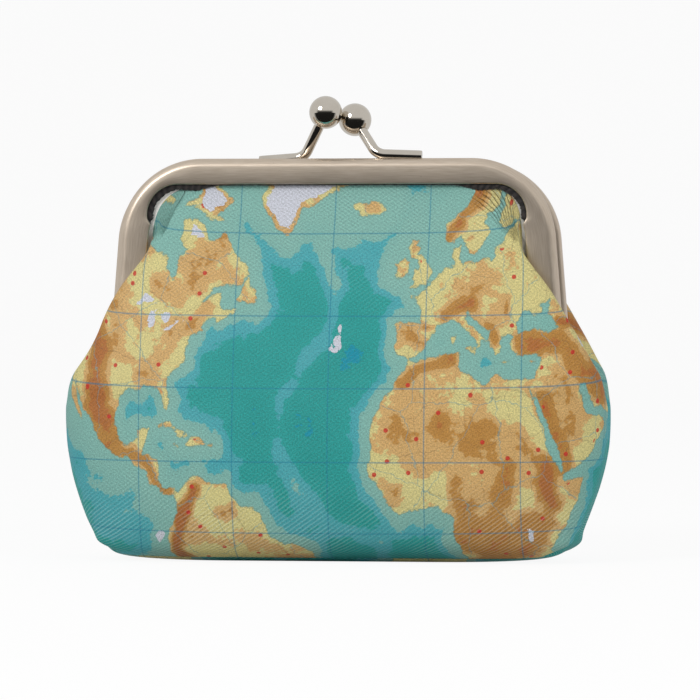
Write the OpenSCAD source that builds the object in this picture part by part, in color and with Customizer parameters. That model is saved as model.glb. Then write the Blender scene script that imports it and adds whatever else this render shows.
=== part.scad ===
// Clasp-framed coin purse: a lined pouch of two panels, jammed into a hinged
// metal frame that snaps shut with two crossed, ball-headed stems.
// X runs across the purse, -Y is its front and Z is up. The origin is the middle
// of the flat base, and the two frame halves meet at the plane Y = 0.

/* [Frame] */
// Width of the front frame half where its corners end
frame_w = 83.7; // [78:0.1:88]
// Height of the closed frame's top above the base
frame_top_h = 76.8; // [74:0.1:80]
// Outer radius of the frame's upper corners
corner_r = 16; // [14:0.5:18]
// Width of the flat metal band seen from the front
band_w = 6.3; // [5.8:0.1:6.8]
// Width of the inner lip, behind the lining
inner_lip_w = 5.2; // [4.6:0.1:5.5]
// Distance from the mating plane to a frame half's face
half_depth = 3.9; // [3.8:0.1:4.4]
// Thickness of the frame's sheet metal
sheet_t = 0.6; // [0.5:0.05:0.65]
// Rounding along the outer edge of the face
face_edge_r = 1.2; // [0.9:0.1:1.4]
// Rounding along the mating edge
mating_edge_r = 0.8; // [0.75:0.05:1]
// Outward lean of the arms, in degrees
arm_lean = 4.5; // [3:0.5:6]
// Air between each half and the mating plane
mating_gap = 0.1; // [0.08:0.01:0.15]
// How much wider the back half is on each side, so that its tabs lie outside
back_wider = 0.85; // [0.8:0.01:1]
// How much lower the back half's top is
back_lower = 0.5; // [0:0.1:0.6]

/* [Hinge] */
// Height of the hinge axis above the base
hinge_h = 33.2; // [32.5:0.1:35]
// Radius of the round hinge tabs
tab_r = 2.4; // [2.2:0.1:2.5]
// Height of the frame's channel ends above the hinge axis
arm_end_h = 3; // [2.8:0.1:3.5]
// Diameter of a rivet's shank
rivet_d = 1.8; // [1.6:0.1:2]
// Radial running clearance between the front half's tabs and the shanks
rivet_clear = 0.05; // [0.02:0.01:0.09]
// Diameter of a rivet's heads
rivet_head_d = 3.4; // [3:0.1:3.8]
// Thickness of a rivet's outer, domed head
rivet_head_t = 0.7; // [0.5:0.1:0.9]
// Thickness of a rivet's inner, peened end
rivet_peen_t = 0.4; // [0.3:0.1:0.6]
// End play between a rivet's inner end and the tab next to it
rivet_play = 0.05; // [0.03:0.01:0.08]

/* [Clasp] */
// Diameter of the clasp's balls
ball_d = 6.3; // [5.9:0.1:6.3]
// Diameter of the clasp's stem rods
stem_d = 2; // [1.8:0.1:2.1]
// Distance from the purse's middle to a stem's cut end
stem_reach = 15.6; // [13:0.1:18]
// Distance from the purse's middle to the point where a stem bends
stem_bend_x = 7.2; // [6.6:0.1:7.8]
// Radius of that bend along the rod's middle
stem_bend_r = 3; // [2:0.1:3.4]
// Thickness of the solder between a stem and its frame half
solder_t = 0.04; // [0.03:0.01:0.08]
// Distance of each ball's middle from the purse's middle
ball_x = 2.65; // [2.6:0.01:2.9]
// Distance that each ball has crossed over to the other half's side
ball_cross = 1.75; // [1.7:0.01:2]
// Height of the front half's ball above the front half's top
front_ball_rise = 7.5; // [7:0.1:8]
// Height of the back half's ball above the front half's top
back_ball_rise = 8.8; // [8.4:0.1:9.4]
// Depth of the socket in each ball
socket_depth = 2; // [1.5:0.1:2.3]
// Clearance of a stem's end in its socket
socket_clear = 0.02; // [0.01:0.01:0.05]

/* [Pouch] */
// Width of the filled pouch at its widest
bag_w = 103.8; // [99:0.1:108]
// Distance from the mating plane to the fullest part of the belly
belly = 18; // [16:0.1:20]
// Distance from the mating plane forward to the bottom seam
seam_forward = 9; // [8:0.1:10]
// Height of the bottom seam above the base
seam_h = 0.9; // [0.7:0.1:1.2]
// Thickness of a coated canvas panel
panel_t = 0.8; // [0.6:0.05:0.85]
// Thickness of a lining panel
lining_t = 0.4; // [0.3:0.05:0.45]
// Air between layers of cloth, and between cloth and metal
layer_gap = 0.08; // [0.06:0.01:0.1]
// Depth to which the cloth reaches into the frame's channel
cloth_grip = 3; // [2.5:0.1:3.5]
// Diameter of the black cord that jams the cloth in the channel
filler_d = 1; // [0.8:0.05:1]
// How far that cord shows past the edge of the face's lip
filler_show = 0.35; // [0.2:0.05:0.45]

/* [Hidden] */

$fn = 64;
// overrun of every cut
over = 1;
// each half's [extra width on each side, drop of its top]
front_half = [0, 0];
back_half = [back_wider, back_lower];

// outline of the front frame half, along the band's outer edge
corner_x = frame_w / 2 - corner_r;
corner_z = frame_top_h - corner_r;
corner_sweep = 90 - arm_lean;
inner_r = corner_r - band_w;
arm_end_z = hinge_h + arm_end_h;
function arm_len(lower) = (corner_z - lower + corner_r * sin(arm_lean) - arm_end_z) / cos(arm_lean);
function arm_end_x(wider, lower) =
    corner_x + wider + corner_r * cos(arm_lean) + arm_len(lower) * sin(arm_lean);

// layers in the frame's channel, from the face towards the mating plane
channel_in = mating_gap + sheet_t;
channel_out = half_depth - sheet_t;
filler_y = channel_out - layer_gap - filler_d / 2;
cloth_y = filler_y - filler_d / 2 - layer_gap;
lining_inset = panel_t + layer_gap;

// hinge and clasp
tab_inset = sheet_t / 6;
front_tab_x = arm_end_x(0, 0) - tab_inset;
back_tab_x = arm_end_x(back_wider, back_lower) - tab_inset;
stem_r = stem_d / 2;
ball_r = ball_d / 2;
stem_y = (half_depth + mating_gap) / 2;
stem_seat = stem_r + solder_t;

// Frame halves

// points along an arc, counted in steps
function arc(center, r, from, to, steps) = [for (i = [0 : steps])
    center + r * [cos(from + (to - from) * i / steps), sin(from + (to - from) * i / steps)]];

// the sheet's channel section: X is 0 on the band's outer edge, Y is the depth
module channel_section(thin) {
    face_edge = [-face_edge_r, half_depth - face_edge_r];
    mating_edge = [-mating_edge_r, mating_gap + mating_edge_r];
    polygon(concat([[-band_w + thin, half_depth - thin]],
        arc(face_edge, face_edge_r - thin, 90, 0, 8),
        arc(mating_edge, mating_edge_r - thin, 0, -90, 6),
        [[-inner_lip_w + thin, mating_gap + thin], [-inner_lip_w + thin, channel_in - thin]],
        arc(mating_edge, mating_edge_r - sheet_t + thin, -90, 0, 2),
        arc(face_edge, face_edge_r - sheet_t + thin, 0, 90, 5),
        [[-band_w + thin, channel_out + thin]]));
}

// carries one section along a half's top and arms, and a thinner one round its corners,
// which lap the straight parts at both ends
corner_lap = 0.5;
corner_thin_share = 0.008;
corner_thin = sheet_t * corner_thin_share;

module along_arch(wider, lower, short) {
    rotate([90, 0, 0]) {
        translate([-corner_x - wider, frame_top_h - lower, 0]) rotate([90, 0, 90])
            linear_extrude((corner_x + wider) * 2) children(0);
        for (side = [0, 1]) mirror([side, 0, 0])
            translate([corner_x + wider, corner_z - lower, 0]) rotate([0, 0, arm_lean]) {
                rotate([0, 0, -corner_lap]) rotate_extrude(angle = corner_sweep + corner_lap * 2)
                    translate([corner_r, 0]) children(1);
                translate([corner_r, 0, 0]) rotate([90, 0, 0])
                    linear_extrude(arm_len(lower) - short) children(0);
            }
    }
}

// one round-ended hinge tab, its outer face at X = face_x
module hinge_tab(face_x, hole_r) {
    translate([face_x - sheet_t, 0, hinge_h]) rotate([90, 0, 90]) linear_extrude(sheet_t)
        difference() {
            union() {
                circle(tab_r);
                polygon([[-tab_r, 0], [-half_depth + face_edge_r, arm_end_h],
                         [-half_depth + face_edge_r, arm_end_h + sheet_t],
                         [-mating_gap - mating_edge_r, arm_end_h + sheet_t], [0, tab_r], [0, 0]]);
            }
            circle(hole_r);
        }
}

module frame_half(wider, lower, tab_x, hole_r) {
    along_arch(wider, lower, 0) {
        channel_section(0);
        channel_section(corner_thin);
    }
    for (side = [0, 1]) mirror([side, 0, 0]) hinge_tab(tab_x, hole_r);
}

module front_frame() {
    color("#9e9285") frame_half(0, 0, front_tab_x, rivet_d / 2 + rivet_clear);
}

module back_frame() {
    color("#9e9285") mirror([0, 1, 0])
        frame_half(back_wider, back_lower, back_tab_x, rivet_d / 2);
}

module filler_section(thin) {
    translate([filler_d / 2 - filler_show - band_w, filler_y]) circle(d = filler_d - thin * 2);
}

module filler_cord(wider, lower) {
    color("#1c1a1b") along_arch(wider, lower, filler_d) {
        filler_section(0);
        filler_section(corner_thin);
    }
}

module front_filler_cord() {
    filler_cord(0, 0);
}

module back_filler_cord() {
    mirror([0, 1, 0]) filler_cord(back_wider, back_lower);
}

// a rivet through the right-hand tabs, domed outside and peened inside
module hinge_rivet() {
    inner_face = front_tab_x - sheet_t - rivet_play;
    dome_r = (rivet_head_d * rivet_head_d / 4 + rivet_head_t * rivet_head_t) / (rivet_head_t * 2);
    color("#b3a99c") translate([0, 0, hinge_h]) rotate([0, 90, 0]) {
        translate([0, 0, inner_face - rivet_peen_t])
            cylinder(h = back_tab_x - inner_face + rivet_peen_t + rivet_head_t / 2, d = rivet_d);
        translate([0, 0, inner_face - rivet_peen_t]) cylinder(h = rivet_peen_t, d = rivet_head_d);
        translate([0, 0, back_tab_x]) intersection() {
            cylinder(h = rivet_head_t, d = rivet_head_d);
            translate([0, 0, rivet_head_t - dome_r]) sphere(dome_r);
        }
    }
}

module hinge_rivet_right() {
    hinge_rivet();
}

module hinge_rivet_left() {
    mirror([1, 0, 0]) hinge_rivet();
}

// Clasp: each stem lies along its half's top, bends up and crosses to the other side

// from the bend to the ball's middle, for a half whose top is lower by the given amount
function stem_rise(ball_rise, lower) =
    [ball_x - stem_bend_x, stem_y + ball_cross, ball_rise + lower - stem_seat];

// the bend is drawn a little thinner and laps the straight rods at both ends
bend_thin_share = 0.01;
bend_lap = 2;

module clasp_stem(ball_rise, lower) {
    rise = stem_rise(ball_rise, lower);
    bend = acos((stem_bend_x - ball_x) / norm(rise));
    tangent = stem_bend_r * tan(bend / 2);
    turn = atan2(rise.y, rise.z);
    color("#b3a99c") translate([stem_bend_x, -stem_y, frame_top_h - lower + stem_seat])
        rotate([90 - turn, 0, 0]) translate([tangent, stem_bend_r, 0]) rotate([0, 0, -90 - bend]) {
            rotate([0, 0, -bend_lap]) rotate_extrude(angle = bend + bend_lap * 2)
                translate([stem_bend_r, 0]) circle(stem_r * (1 - bend_thin_share));
            translate([stem_bend_r, 0, 0]) rotate([90, 0, 0])
                cylinder(h = norm(rise) - tangent - ball_r + socket_depth, r = stem_r);
            rotate([0, 0, bend]) translate([stem_bend_r, 0, 0]) rotate([-90, 0, 0])
                cylinder(h = stem_reach - stem_bend_x - tangent, r = stem_r);
        }
}

module clasp_ball(ball_rise, lower) {
    rise = stem_rise(ball_rise, lower);
    tilt = acos(rise.z / norm(rise));
    turn = atan2(rise.y, rise.x);
    color("#b3a99c") translate([ball_x, ball_cross, frame_top_h + ball_rise]) rotate([0, tilt, turn])
        difference() {
            sphere(ball_r);
            translate([0, 0, -ball_r - over])
                cylinder(h = socket_depth + over + socket_clear, r = stem_r + socket_clear);
        }
}

// turns a right-hand front piece into the back half's left-hand one
module to_back_half() {
    rotate([0, 0, 180]) children();
}

module front_clasp_stem() {
    clasp_stem(front_ball_rise, 0);
}

module back_clasp_stem() {
    to_back_half() clasp_stem(back_ball_rise, back_lower);
}

module front_clasp_ball() {
    clasp_ball(front_ball_rise, 0);
}

module back_clasp_ball() {
    to_back_half() clasp_ball(back_ball_rise, back_lower);
}

// Pouch: each panel is a loft through rows, from the frame's lip down to the seam.
// A row starts at the panel's middle, runs out to its shoulder and turns in to its end.

// a half's lip edge from the corner's start (0) to the arm's end (1), and a depth past it
function rim(half, share, depth) = let (
        corner_len = inner_r * corner_sweep * PI / 180,
        along = share * (corner_len + arm_len(half.y)),
        angle = 90 - min(along, corner_len) / inner_r * 180 / PI,
        down = max(along - corner_len, 0),
        r = inner_r + depth)
    [corner_x + half.x + r * cos(angle) + down * sin(arm_lean),
     corner_z - half.y + r * sin(angle) - down * cos(arm_lean)];

// clearance of the cloth where it wraps the lip and the filler cord
wrap = filler_show + layer_gap * 4;
wrap_y = half_depth + layer_gap * 2;
lip_z = corner_z + inner_r;

// share along the rim, heights above the hinge, belly, cheek past the rim, shoulder,
// reach of the wrap in front of the lip
rim_shares = [
    [0.00, 1.00, 0.00, -0.09, 0.00, 0.35],
    [0.18, 0.86, 0.12, -0.06, 0.06, 0.70],
    [0.34, 0.72, 0.29, -0.03, 0.14, 1.00],
    [0.44, 0.62, 0.40, 0.05, 0.20, 1.00],
    [0.60, 0.46, 0.56, 0.33, 0.29, 1.00],
    [0.80, 0.23, 0.75, 0.63, 0.34, 1.05],
    [0.97, 0.02, 0.88, 0.90, 0.26, 1.15]];
// middle's height, belly, half width, shoulder, end across, end forward, end's height,
// share of the row that stays level
hinge_shares = [0.93, 0.94, 0.996, 0.28, 0.80, -0.27, 0.910, 0];
side_shares = [
    [0.83, 0.967, 1.00, 0.24, 0.90, 0.04, 0.855, 0],
    [0.72, 0.989, 1.00, 0.19, 0.965, 0.03, 0.760, 0],
    [0.60, 1.00, 0.993, 0.17, 0.985, 0.02, 0.620, 0]];
front_foot_shares = [
    [0.39, 0.978, 0.965, 0.20, 0.960, 0.13, 0.450, 0],
    [0.18, 0.86, 0.920, 0.31, 0.912, 0.36, 0.247, 0],
    [0.08, 0.70, 0.875, 0.44, 0.862, 0.64, 0.127, 0.2]];
back_foot_shares = [
    [0.37, 0.965, 0.966, 0.15, 0.960, 0.10, 0.470, 0],
    [0.14, 0.82, 0.930, 0.10, 0.925, 0.24, 0.330, 0.15],
    [0.00, 0.58, 0.905, 0.00, 0.900, 0.42, 0.220, 0.2],
    [0.00, 0.20, 0.875, -0.14, 0.870, 0.62, 0.133, 0.2],
    [0.00, -0.30, 0.850, -0.30, 0.840, 0.80, 0.085, 0.2]];
foot_width_share = 0.8;
foot_end_share = 0.79;
foot_rise_share = 0.045;
foot_forward_share = 0.945;
foot_level_share = 0.3;
// how far along the rim the lip's and the channel's points run ahead of a row's end
lip_ahead_share = 0.04;
grip_ahead_share = 0.08;
top_lip_ahead_share = 0.02;
top_grip_ahead_share = 0.06;
top_edge_share = 0.7;

// a row holds: middle [y, z], shoulder [x, y], level share, end, lip and edge points
function row(mid, shoulder, level, end, lip, edge) =
    [mid.x, mid.y, shoulder.x, shoulder.y, level,
     end.x, end.y, end.z, lip.x, lip.y, lip.z, edge.x, edge.y, edge.z];

// the three points that carry a row's end over the lip and into the channel
function rim_points(half, share, reach) = let (
        e = rim(half, share, -wrap),
        l = rim(half, share + (1 - share) * lip_ahead_share, -wrap),
        c = rim(half, share + (1 - share) * grip_ahead_share, cloth_grip))
    [[e.x, -cloth_y + (cloth_y - wrap_y) * reach, e.y], [l.x, -cloth_y, l.y], [c.x, -cloth_y, c.y]];

function rim_row(half, s) = let (
        points = rim_points(half, s[0], s[5]),
        depth = wrap_y * s[5] + cloth_y * (1 - s[5]))
    row([-depth - (belly - depth) * s[2], hinge_h + (lip_z - half.y - wrap - hinge_h) * s[1]],
        [points[0].x + (bag_w / 2 - points[0].x) * s[3], -depth - (belly - depth) * s[4]],
        0, points[0], points[1], points[2]);

// air between a panel's edge and the seam line, and steps by which a row's end nears it
seam_gap = layer_gap * 2.5;
seam_step = layer_gap * 3;
function seam_row(s, side) = let (
        end = [s[4] * bag_w / 2, side * s[5] * seam_forward - seam_step * 2 - seam_gap, s[6] * hinge_h],
        step = [0, seam_step, 0])
    row([-s[1] * belly, s[0] * hinge_h], [s[2] * bag_w / 2, min(-s[3] * belly, end.y)],
        s[7], end, end + step, end + step * 2);

function foot_row(side, height, forward) =
    seam_row([height / hinge_h, forward / belly, foot_width_share, -side * foot_forward_share
              * seam_forward / belly, foot_end_share, foot_forward_share, foot_rise_share,
              foot_level_share], side);

function all_rows(half, side, foot_shares, foot) = concat(
    [for (s = rim_shares) rim_row(half, s)], [seam_row(hinge_shares, 1)],
    [for (s = side_shares) seam_row(s, side)], [for (s = foot_shares) seam_row(s, side)], [foot]);
front_rows = all_rows(front_half, -1, front_foot_shares, foot_row(-1, seam_h, seam_forward));
back_rows = all_rows(back_half, 1, back_foot_shares,
                     foot_row(1, seam_h - layer_gap, -seam_forward + panel_t));

// a smooth curve through the rows, place counting rows
function between(rows, place) = let (
        i = min(floor(place), len(rows) - 2), f = place - i,
        a = rows[max(i - 1, 0)], b = rows[i], c = rows[i + 1], d = rows[min(i + 2, len(rows) - 1)])
    (b * 2 + (c - a) * f + (a * 2 - b * 5 + c * 4 - d) * f * f + (b * 3 - a - c * 3 + d) * f * f * f) / 2;

function bezier(a, b, c, d, t) =
    a * pow(1 - t, 3) + b * 3 * t * pow(1 - t, 2) + c * 3 * t * t * (1 - t) + d * pow(t, 3);

middle_roundness_share = 0.72;
shoulder_roundness_share = 0.75;
side_roundness_share = 0.6;
end_roundness_share = 0.4;
shoulder_place_share = 0.84;

// the point of a row at share s of the way from its middle to its end
function row_point(r, s) = let (
        w = r[2], mid_y = r[0], sh_y = r[3], ex = r[5], ey = r[6],
        t = min(s / shoulder_place_share, 1),
        u = max(s - shoulder_place_share, 0) / (1 - shoulder_place_share),
        tuck = min(max(w - ex, 0) / band_w, 1),
        front = bezier([0, mid_y], [w * middle_roundness_share, mid_y],
                       [w, sh_y + (mid_y - sh_y) * shoulder_roundness_share], [w, sh_y], t),
        side = bezier([w, sh_y], [w, sh_y + (ey - sh_y) * side_roundness_share],
                      [(w + ex) / 2, ey - (1 - tuck) * (ey - sh_y) * end_roundness_share], [ex, ey], u),
        flat = s <= shoulder_place_share ? front : side,
        lift = pow(max(s - r[4], 0) / (1 - r[4]), 2))
    [flat.x, flat.y, max(r[1] + (r[7] - r[1]) * lift, 0)];

// places across half a panel, closer together round the shoulder
across_shares = [0, 0.14, 0.28, 0.42, 0.56, 0.68, 0.78, 0.84, 0.89, 0.94, 1];
rim_steps = 12;
side_steps = 14;

function half_row(r) = concat([for (s = across_shares) row_point(r, s)],
    [[r[8], r[9], r[10]], [r[11], r[12], r[13]]]);

// on the rim the end points come from the rim itself, so that they follow its arc
function on_rim(half, r, place) = place > len(rim_shares) - 1 ? r : let (
        s = between(rim_shares, place),
        p = rim_points(half, s[0], s[5]))
    row([r[0], r[1]], [r[2], r[3]], r[4], p[0], p[1], p[2]);

function flip(points) = [for (i = [len(points) - 1 : -1 : 1]) [-points[i].x, points[i].y, points[i].z]];
function full_row(points) = concat(flip(points), points);

// the two rows above the first one, which fill the channel over the frame's top
function top_row(half, first, share, depth) = let (
        l = rim(half, share * top_lip_ahead_share, depth),
        c = rim(half, share * top_grip_ahead_share, cloth_grip))
    concat([for (s = across_shares) [row_point(first, s).x, -cloth_y, lip_z - half.y + depth]],
           [[l.x, -cloth_y, l.y], [c.x, -cloth_y, c.y]]);

function panel_grid(half, rows) = let (turn = len(rim_shares) - 1, last = len(rows) - 1)
    [full_row(top_row(half, rows[0], top_edge_share, cloth_grip)),
     full_row(top_row(half, rows[0], 1, -wrap / 2)),
     for (i = [0 : rim_steps + side_steps])
         let (place = i < rim_steps ? i * turn / rim_steps
                                    : turn + (i - rim_steps) * (last - turn) / side_steps)
         full_row(half_row(on_rim(half, between(rows, place), place)))];

// row of a grid from which its side edges follow the seams, and how many columns do
function seam_from(rows) =
    2 + rim_steps + floor(side_steps * 2 / (len(rows) - len(rim_shares)));
seam_columns = 5;

// direction away from the pouch's core, shared by both panels along their seams
core_width_share = 0.68;
core_low_share = 0.42;
core_high_share = 0.86;
function unit(v) = v / norm(v);
function hold(v, low, high) = min(max(v, low), high);
function from_core(p) = unit([
    p.x - hold(p.x, -bag_w / 2 * core_width_share, bag_w / 2 * core_width_share), p.y,
    p.z - hold(p.z, hinge_h * core_low_share, hinge_h * core_high_share)]);

// outward direction at each point of a grid
function outward(g, i, j) = unit(cross(
    g[min(i + 1, len(g) - 1)][j] - g[max(i - 1, 0)][j],
    g[i][min(j + 1, len(g[0]) - 1)] - g[i][max(j - 1, 0)]));

// a sheet of even thickness between two depths under a grid
module sheet(grid, seam_row, outer, inner) {
    m = len(grid);
    n = len(grid[0]);
    points = [for (depth = [outer, inner], i = [0 : m - 1], j = [0 : n - 1])
        grid[i][j] - depth * (i == m - 1 || (i >= seam_row && min(j, n - 1 - j) < seam_columns)
                              ? from_core(grid[i][j]) : outward(grid, i, j))];
    skin = [for (i = [0 : m - 2], j = [0 : n - 2], k = [0, 1]) let (a = i * n + j)
        k == 0 ? [a, a + 1, a + n + 1] : [a, a + n + 1, a + n]];
    inside = [for (f = skin) [f.z + m * n, f.y + m * n, f.x + m * n]];
    border = concat([for (j = [0 : n - 2]) j], [for (i = [0 : m - 2]) i * n + n - 1],
                    [for (j = [n - 1 : -1 : 1]) (m - 1) * n + j], [for (i = [m - 1 : -1 : 1]) i * n]);
    edges = [for (i = [0 : len(border) - 1], k = [0, 1])
        let (a = border[i], b = border[(i + 1) % len(border)])
        k == 0 ? [a, a + m * n, b + m * n] : [a, b + m * n, b]];
    polyhedron(points, concat(skin, inside, edges));
}

front_grid = panel_grid(front_half, front_rows);
back_grid = panel_grid(back_half, back_rows);

module front_panel() {
    color("#4fb3ad") sheet(front_grid, seam_from(front_rows), 0, panel_t);
}

module back_panel() {
    color("#c9a35a") mirror([0, 1, 0]) sheet(back_grid, seam_from(back_rows), 0, panel_t);
}

module front_lining() {
    color("#2a2829") sheet(front_grid, seam_from(front_rows), lining_inset, lining_inset + lining_t);
}

module back_lining() {
    color("#2a2829") mirror([0, 1, 0])
        sheet(back_grid, seam_from(back_rows), lining_inset, lining_inset + lining_t);
}

front_panel();
back_panel();
front_lining();
back_lining();
front_frame();
back_frame();
front_filler_cord();
back_filler_cord();
front_clasp_stem();
back_clasp_stem();
front_clasp_ball();
back_clasp_ball();
hinge_rivet_left();
hinge_rivet_right();
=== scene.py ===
"""A clasp-framed coin purse: the looks of its pouch, frame halves, clasp and hinge.

Every piece is a surface worked out with numpy on a grid, in millimetres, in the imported
model's own frame: X runs across the purse, -Y is its front and Z is up.
"""

import bpy
import numpy as np
from mathutils import Matrix, Vector


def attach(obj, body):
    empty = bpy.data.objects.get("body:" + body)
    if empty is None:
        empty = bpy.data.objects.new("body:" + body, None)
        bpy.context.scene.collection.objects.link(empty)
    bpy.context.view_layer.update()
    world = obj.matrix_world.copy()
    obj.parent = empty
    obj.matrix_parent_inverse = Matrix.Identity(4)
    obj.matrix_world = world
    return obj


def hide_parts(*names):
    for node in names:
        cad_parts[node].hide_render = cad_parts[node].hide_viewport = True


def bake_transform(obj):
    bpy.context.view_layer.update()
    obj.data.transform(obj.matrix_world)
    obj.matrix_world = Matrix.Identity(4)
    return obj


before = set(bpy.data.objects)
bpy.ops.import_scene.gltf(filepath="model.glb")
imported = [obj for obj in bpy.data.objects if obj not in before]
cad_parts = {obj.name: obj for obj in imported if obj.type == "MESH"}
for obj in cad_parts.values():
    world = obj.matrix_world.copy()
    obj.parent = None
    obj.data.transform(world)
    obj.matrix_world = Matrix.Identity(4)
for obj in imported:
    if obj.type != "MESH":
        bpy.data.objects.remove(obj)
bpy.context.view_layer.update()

MM = 0.001
# millimetres to one unit of the cloth coordinates
CLOTH_UNIT = 100

# Sizes of the purse in millimetres, as in its source but for the face, the corners'
# pockets, the halves' closer mating faces and the clasp's place
BAND_WIDTH = 6.3
CORNER_RADIUS = 16.0
CORNER_X = 83.7 / 2 - CORNER_RADIUS
FRAME_TOP = 76.8
CORNER_Z = FRAME_TOP - CORNER_RADIUS
LEAN = np.radians(4.5)
HALF_DEPTH = 3.9
SHEET = 0.6
INNER_LIP = 5.2
FACE_EDGE = 1.2
MATING_EDGE = 0.8
MATING_GAP = 0.03
HINGE_Z = 33.2
ARM_END_Z = HINGE_Z + 3.0
TAB_RADIUS = 2.4
RIVET = 1.8
RIVET_HEAD = 1.7
RIVET_PLAY = 0.05
# how much wider and lower each frame half is than the front one. A half's side is -1 for
# the front one and 1 for the back one, and its shapes are worked out as for the front
FRONT_HALF = (0.0, 0.0)
BACK_HALF = (0.85, 0.5)
BALL = 6.3
STEM = 2.0
LAYER_GAP = 0.08
CORD = 1.0
PANEL = 0.8
LINING = 0.4
BAG_WIDTH = 103.8
BELLY = 18.0
SEAM_FORWARD = 9.0
CORD_Y = HALF_DEPTH - SHEET - LAYER_GAP - CORD / 2
CLOTH_Y = CORD_Y - CORD / 2 - LAYER_GAP
WRAP = 0.35
WRAP_Y = HALF_DEPTH + LAYER_GAP * 2
LIP_RADIUS = CORNER_RADIUS - BAND_WIDTH
LIP_Z = CORNER_Z + LIP_RADIUS
# the face's widths over the top and down the arms, and each corner's pocket: the middle
# of its circle from the corner's own middle, and its radius
TOP_FACE, ARM_FACE = 4.9, 5.6
POCKET = (4.65, 5.2)
POCKET_RADIUS = 5.9
RIM_LIFT = 1.2
# how far forward the cloth lies where it is folded flat in the upper corners, and how
# far past the lip's edge it runs in the channel
FLAT_Y = 2.45
CLOTH_IN = 3.0


# Numpy helpers

def smooth(low, high, value):
    """Eased step: 0 below low, 1 above high, and t * t * (3 - 2 t) between them."""
    t = np.clip((value - low) / (high - low), 0, 1)
    return t * t * (3 - 2 * t)


def joined(*parts):
    """Parts brought to one shape and joined as the last axis."""
    return np.stack(np.broadcast_arrays(*parts), -1)


def unit(vectors):
    """Each vector divided by its own length."""
    return vectors / np.maximum(np.linalg.norm(vectors, axis=-1, keepdims=True), 1e-9)


def bump_at(value, middle, width):
    """Gaussian hill: exp of minus the squared distance from its middle over its width."""
    return np.exp(-(((value - middle) / width) ** 2))


def ripple(x, y, seed, size):
    """Smooth noise from -1 to 1: a sum of nine sine waves of seeded directions and phases,
    whose lengths go down from the given size."""
    draw = np.random.default_rng(seed)
    angle, phase = draw.uniform(0, 2 * np.pi, 9), draw.uniform(0, 2 * np.pi, 9)
    length = size / 1.35 ** np.arange(9)
    total = sum(np.sin((x * np.cos(a) + y * np.sin(a)) * 2 * np.pi / w + p) * w / size
                for a, p, w in zip(angle, phase, length))
    return total / 2.2


def quads(rows, columns, ring_rows=False, ring_columns=False):
    """Corner numbers of a grid's quads; a ring joins its last row or column to its first."""
    i = np.arange(rows if ring_rows else rows - 1)[:, None]
    j = np.arange(columns if ring_columns else columns - 1)[None, :]
    ni, nj = (i + 1) % rows, (j + 1) % columns
    return joined(i * columns + j, i * columns + nj, ni * columns + nj,
                  ni * columns + j).reshape(-1, 4)


def fan(ring, middle):
    """Triangles from a ring of corner numbers to a middle point."""
    return joined(ring, np.roll(ring, -1), middle)


def volume(points, faces):
    """Signed volume: a sixth of each triangle's box product, a quad counting as two."""
    total = 0.0
    for f in faces:
        for k in range(1, f.shape[1] - 1):
            a, b, c = points[f[:, 0]], points[f[:, k]], points[f[:, k + 1]]
            total += np.einsum("ij,ij->", a, np.cross(b, c)) / 6
    return total


def make_piece(name, points, faces, finish, sharp=None, corners=None, values=None):
    """Puts points in millimetres and faces into a mesh whose faces point outwards.
    corners is a place on the cloth for each point, and values holds one number each."""
    points = np.asarray(points, float).reshape(-1, 3)
    if volume(points, faces) < 0:
        faces = [f[:, ::-1] for f in faces]
    loops = np.concatenate([f.ravel() for f in faces]).astype(np.int32)
    sizes = np.concatenate([np.full(len(f), f.shape[1]) for f in faces])
    mesh = bpy.data.meshes.new(name)
    mesh.vertices.add(len(points))
    mesh.vertices.foreach_set("co", (points * MM).astype(np.float32).ravel())
    mesh.loops.add(len(loops))
    mesh.loops.foreach_set("vertex_index", loops)
    mesh.polygons.add(len(sizes))
    starts = np.concatenate([[0], np.cumsum(sizes)[:-1]])
    mesh.polygons.foreach_set("loop_start", starts.astype(np.int32))
    mesh.update(calc_edges=True)
    mesh.validate()
    mesh.shade_smooth()
    if sharp:
        mesh.set_sharp_from_angle(angle=np.radians(sharp))
    if corners is not None:
        layer = mesh.uv_layers.new(name="cloth")
        places = corners.reshape(-1, 2)[loops] / CLOTH_UNIT
        layer.data.foreach_set("uv", places.astype(np.float32).ravel())
    for key, value in (values or {}).items():
        mesh.attributes.new(key, "FLOAT", "POINT").data.foreach_set(
            "value", np.asarray(value, np.float32).ravel())
    piece = bpy.data.objects.new(name, mesh)
    bpy.context.scene.collection.objects.link(piece)
    mesh.materials.append(finish)
    return piece


def tube(rings, finish, name, sharp=None, corners=None):
    """Closed solid from rings of points: quads between neighbouring rings, and a fan over
    the first and the last ring."""
    m, n = rings.shape[:2]
    points = np.concatenate([rings.reshape(-1, 3), [rings[0].mean(0), rings[-1].mean(0)]])
    faces = [quads(m, n, ring_columns=True), fan(np.arange(n)[::-1], m * n),
             fan(np.arange((m - 1) * n, m * n), m * n + 1)]
    if corners is not None:
        corners = np.concatenate([corners.reshape(-1, 2), corners[0, :1], corners[-1, :1]])
    return make_piece(name, points, faces, finish, sharp, corners)


# Finishes

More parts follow.
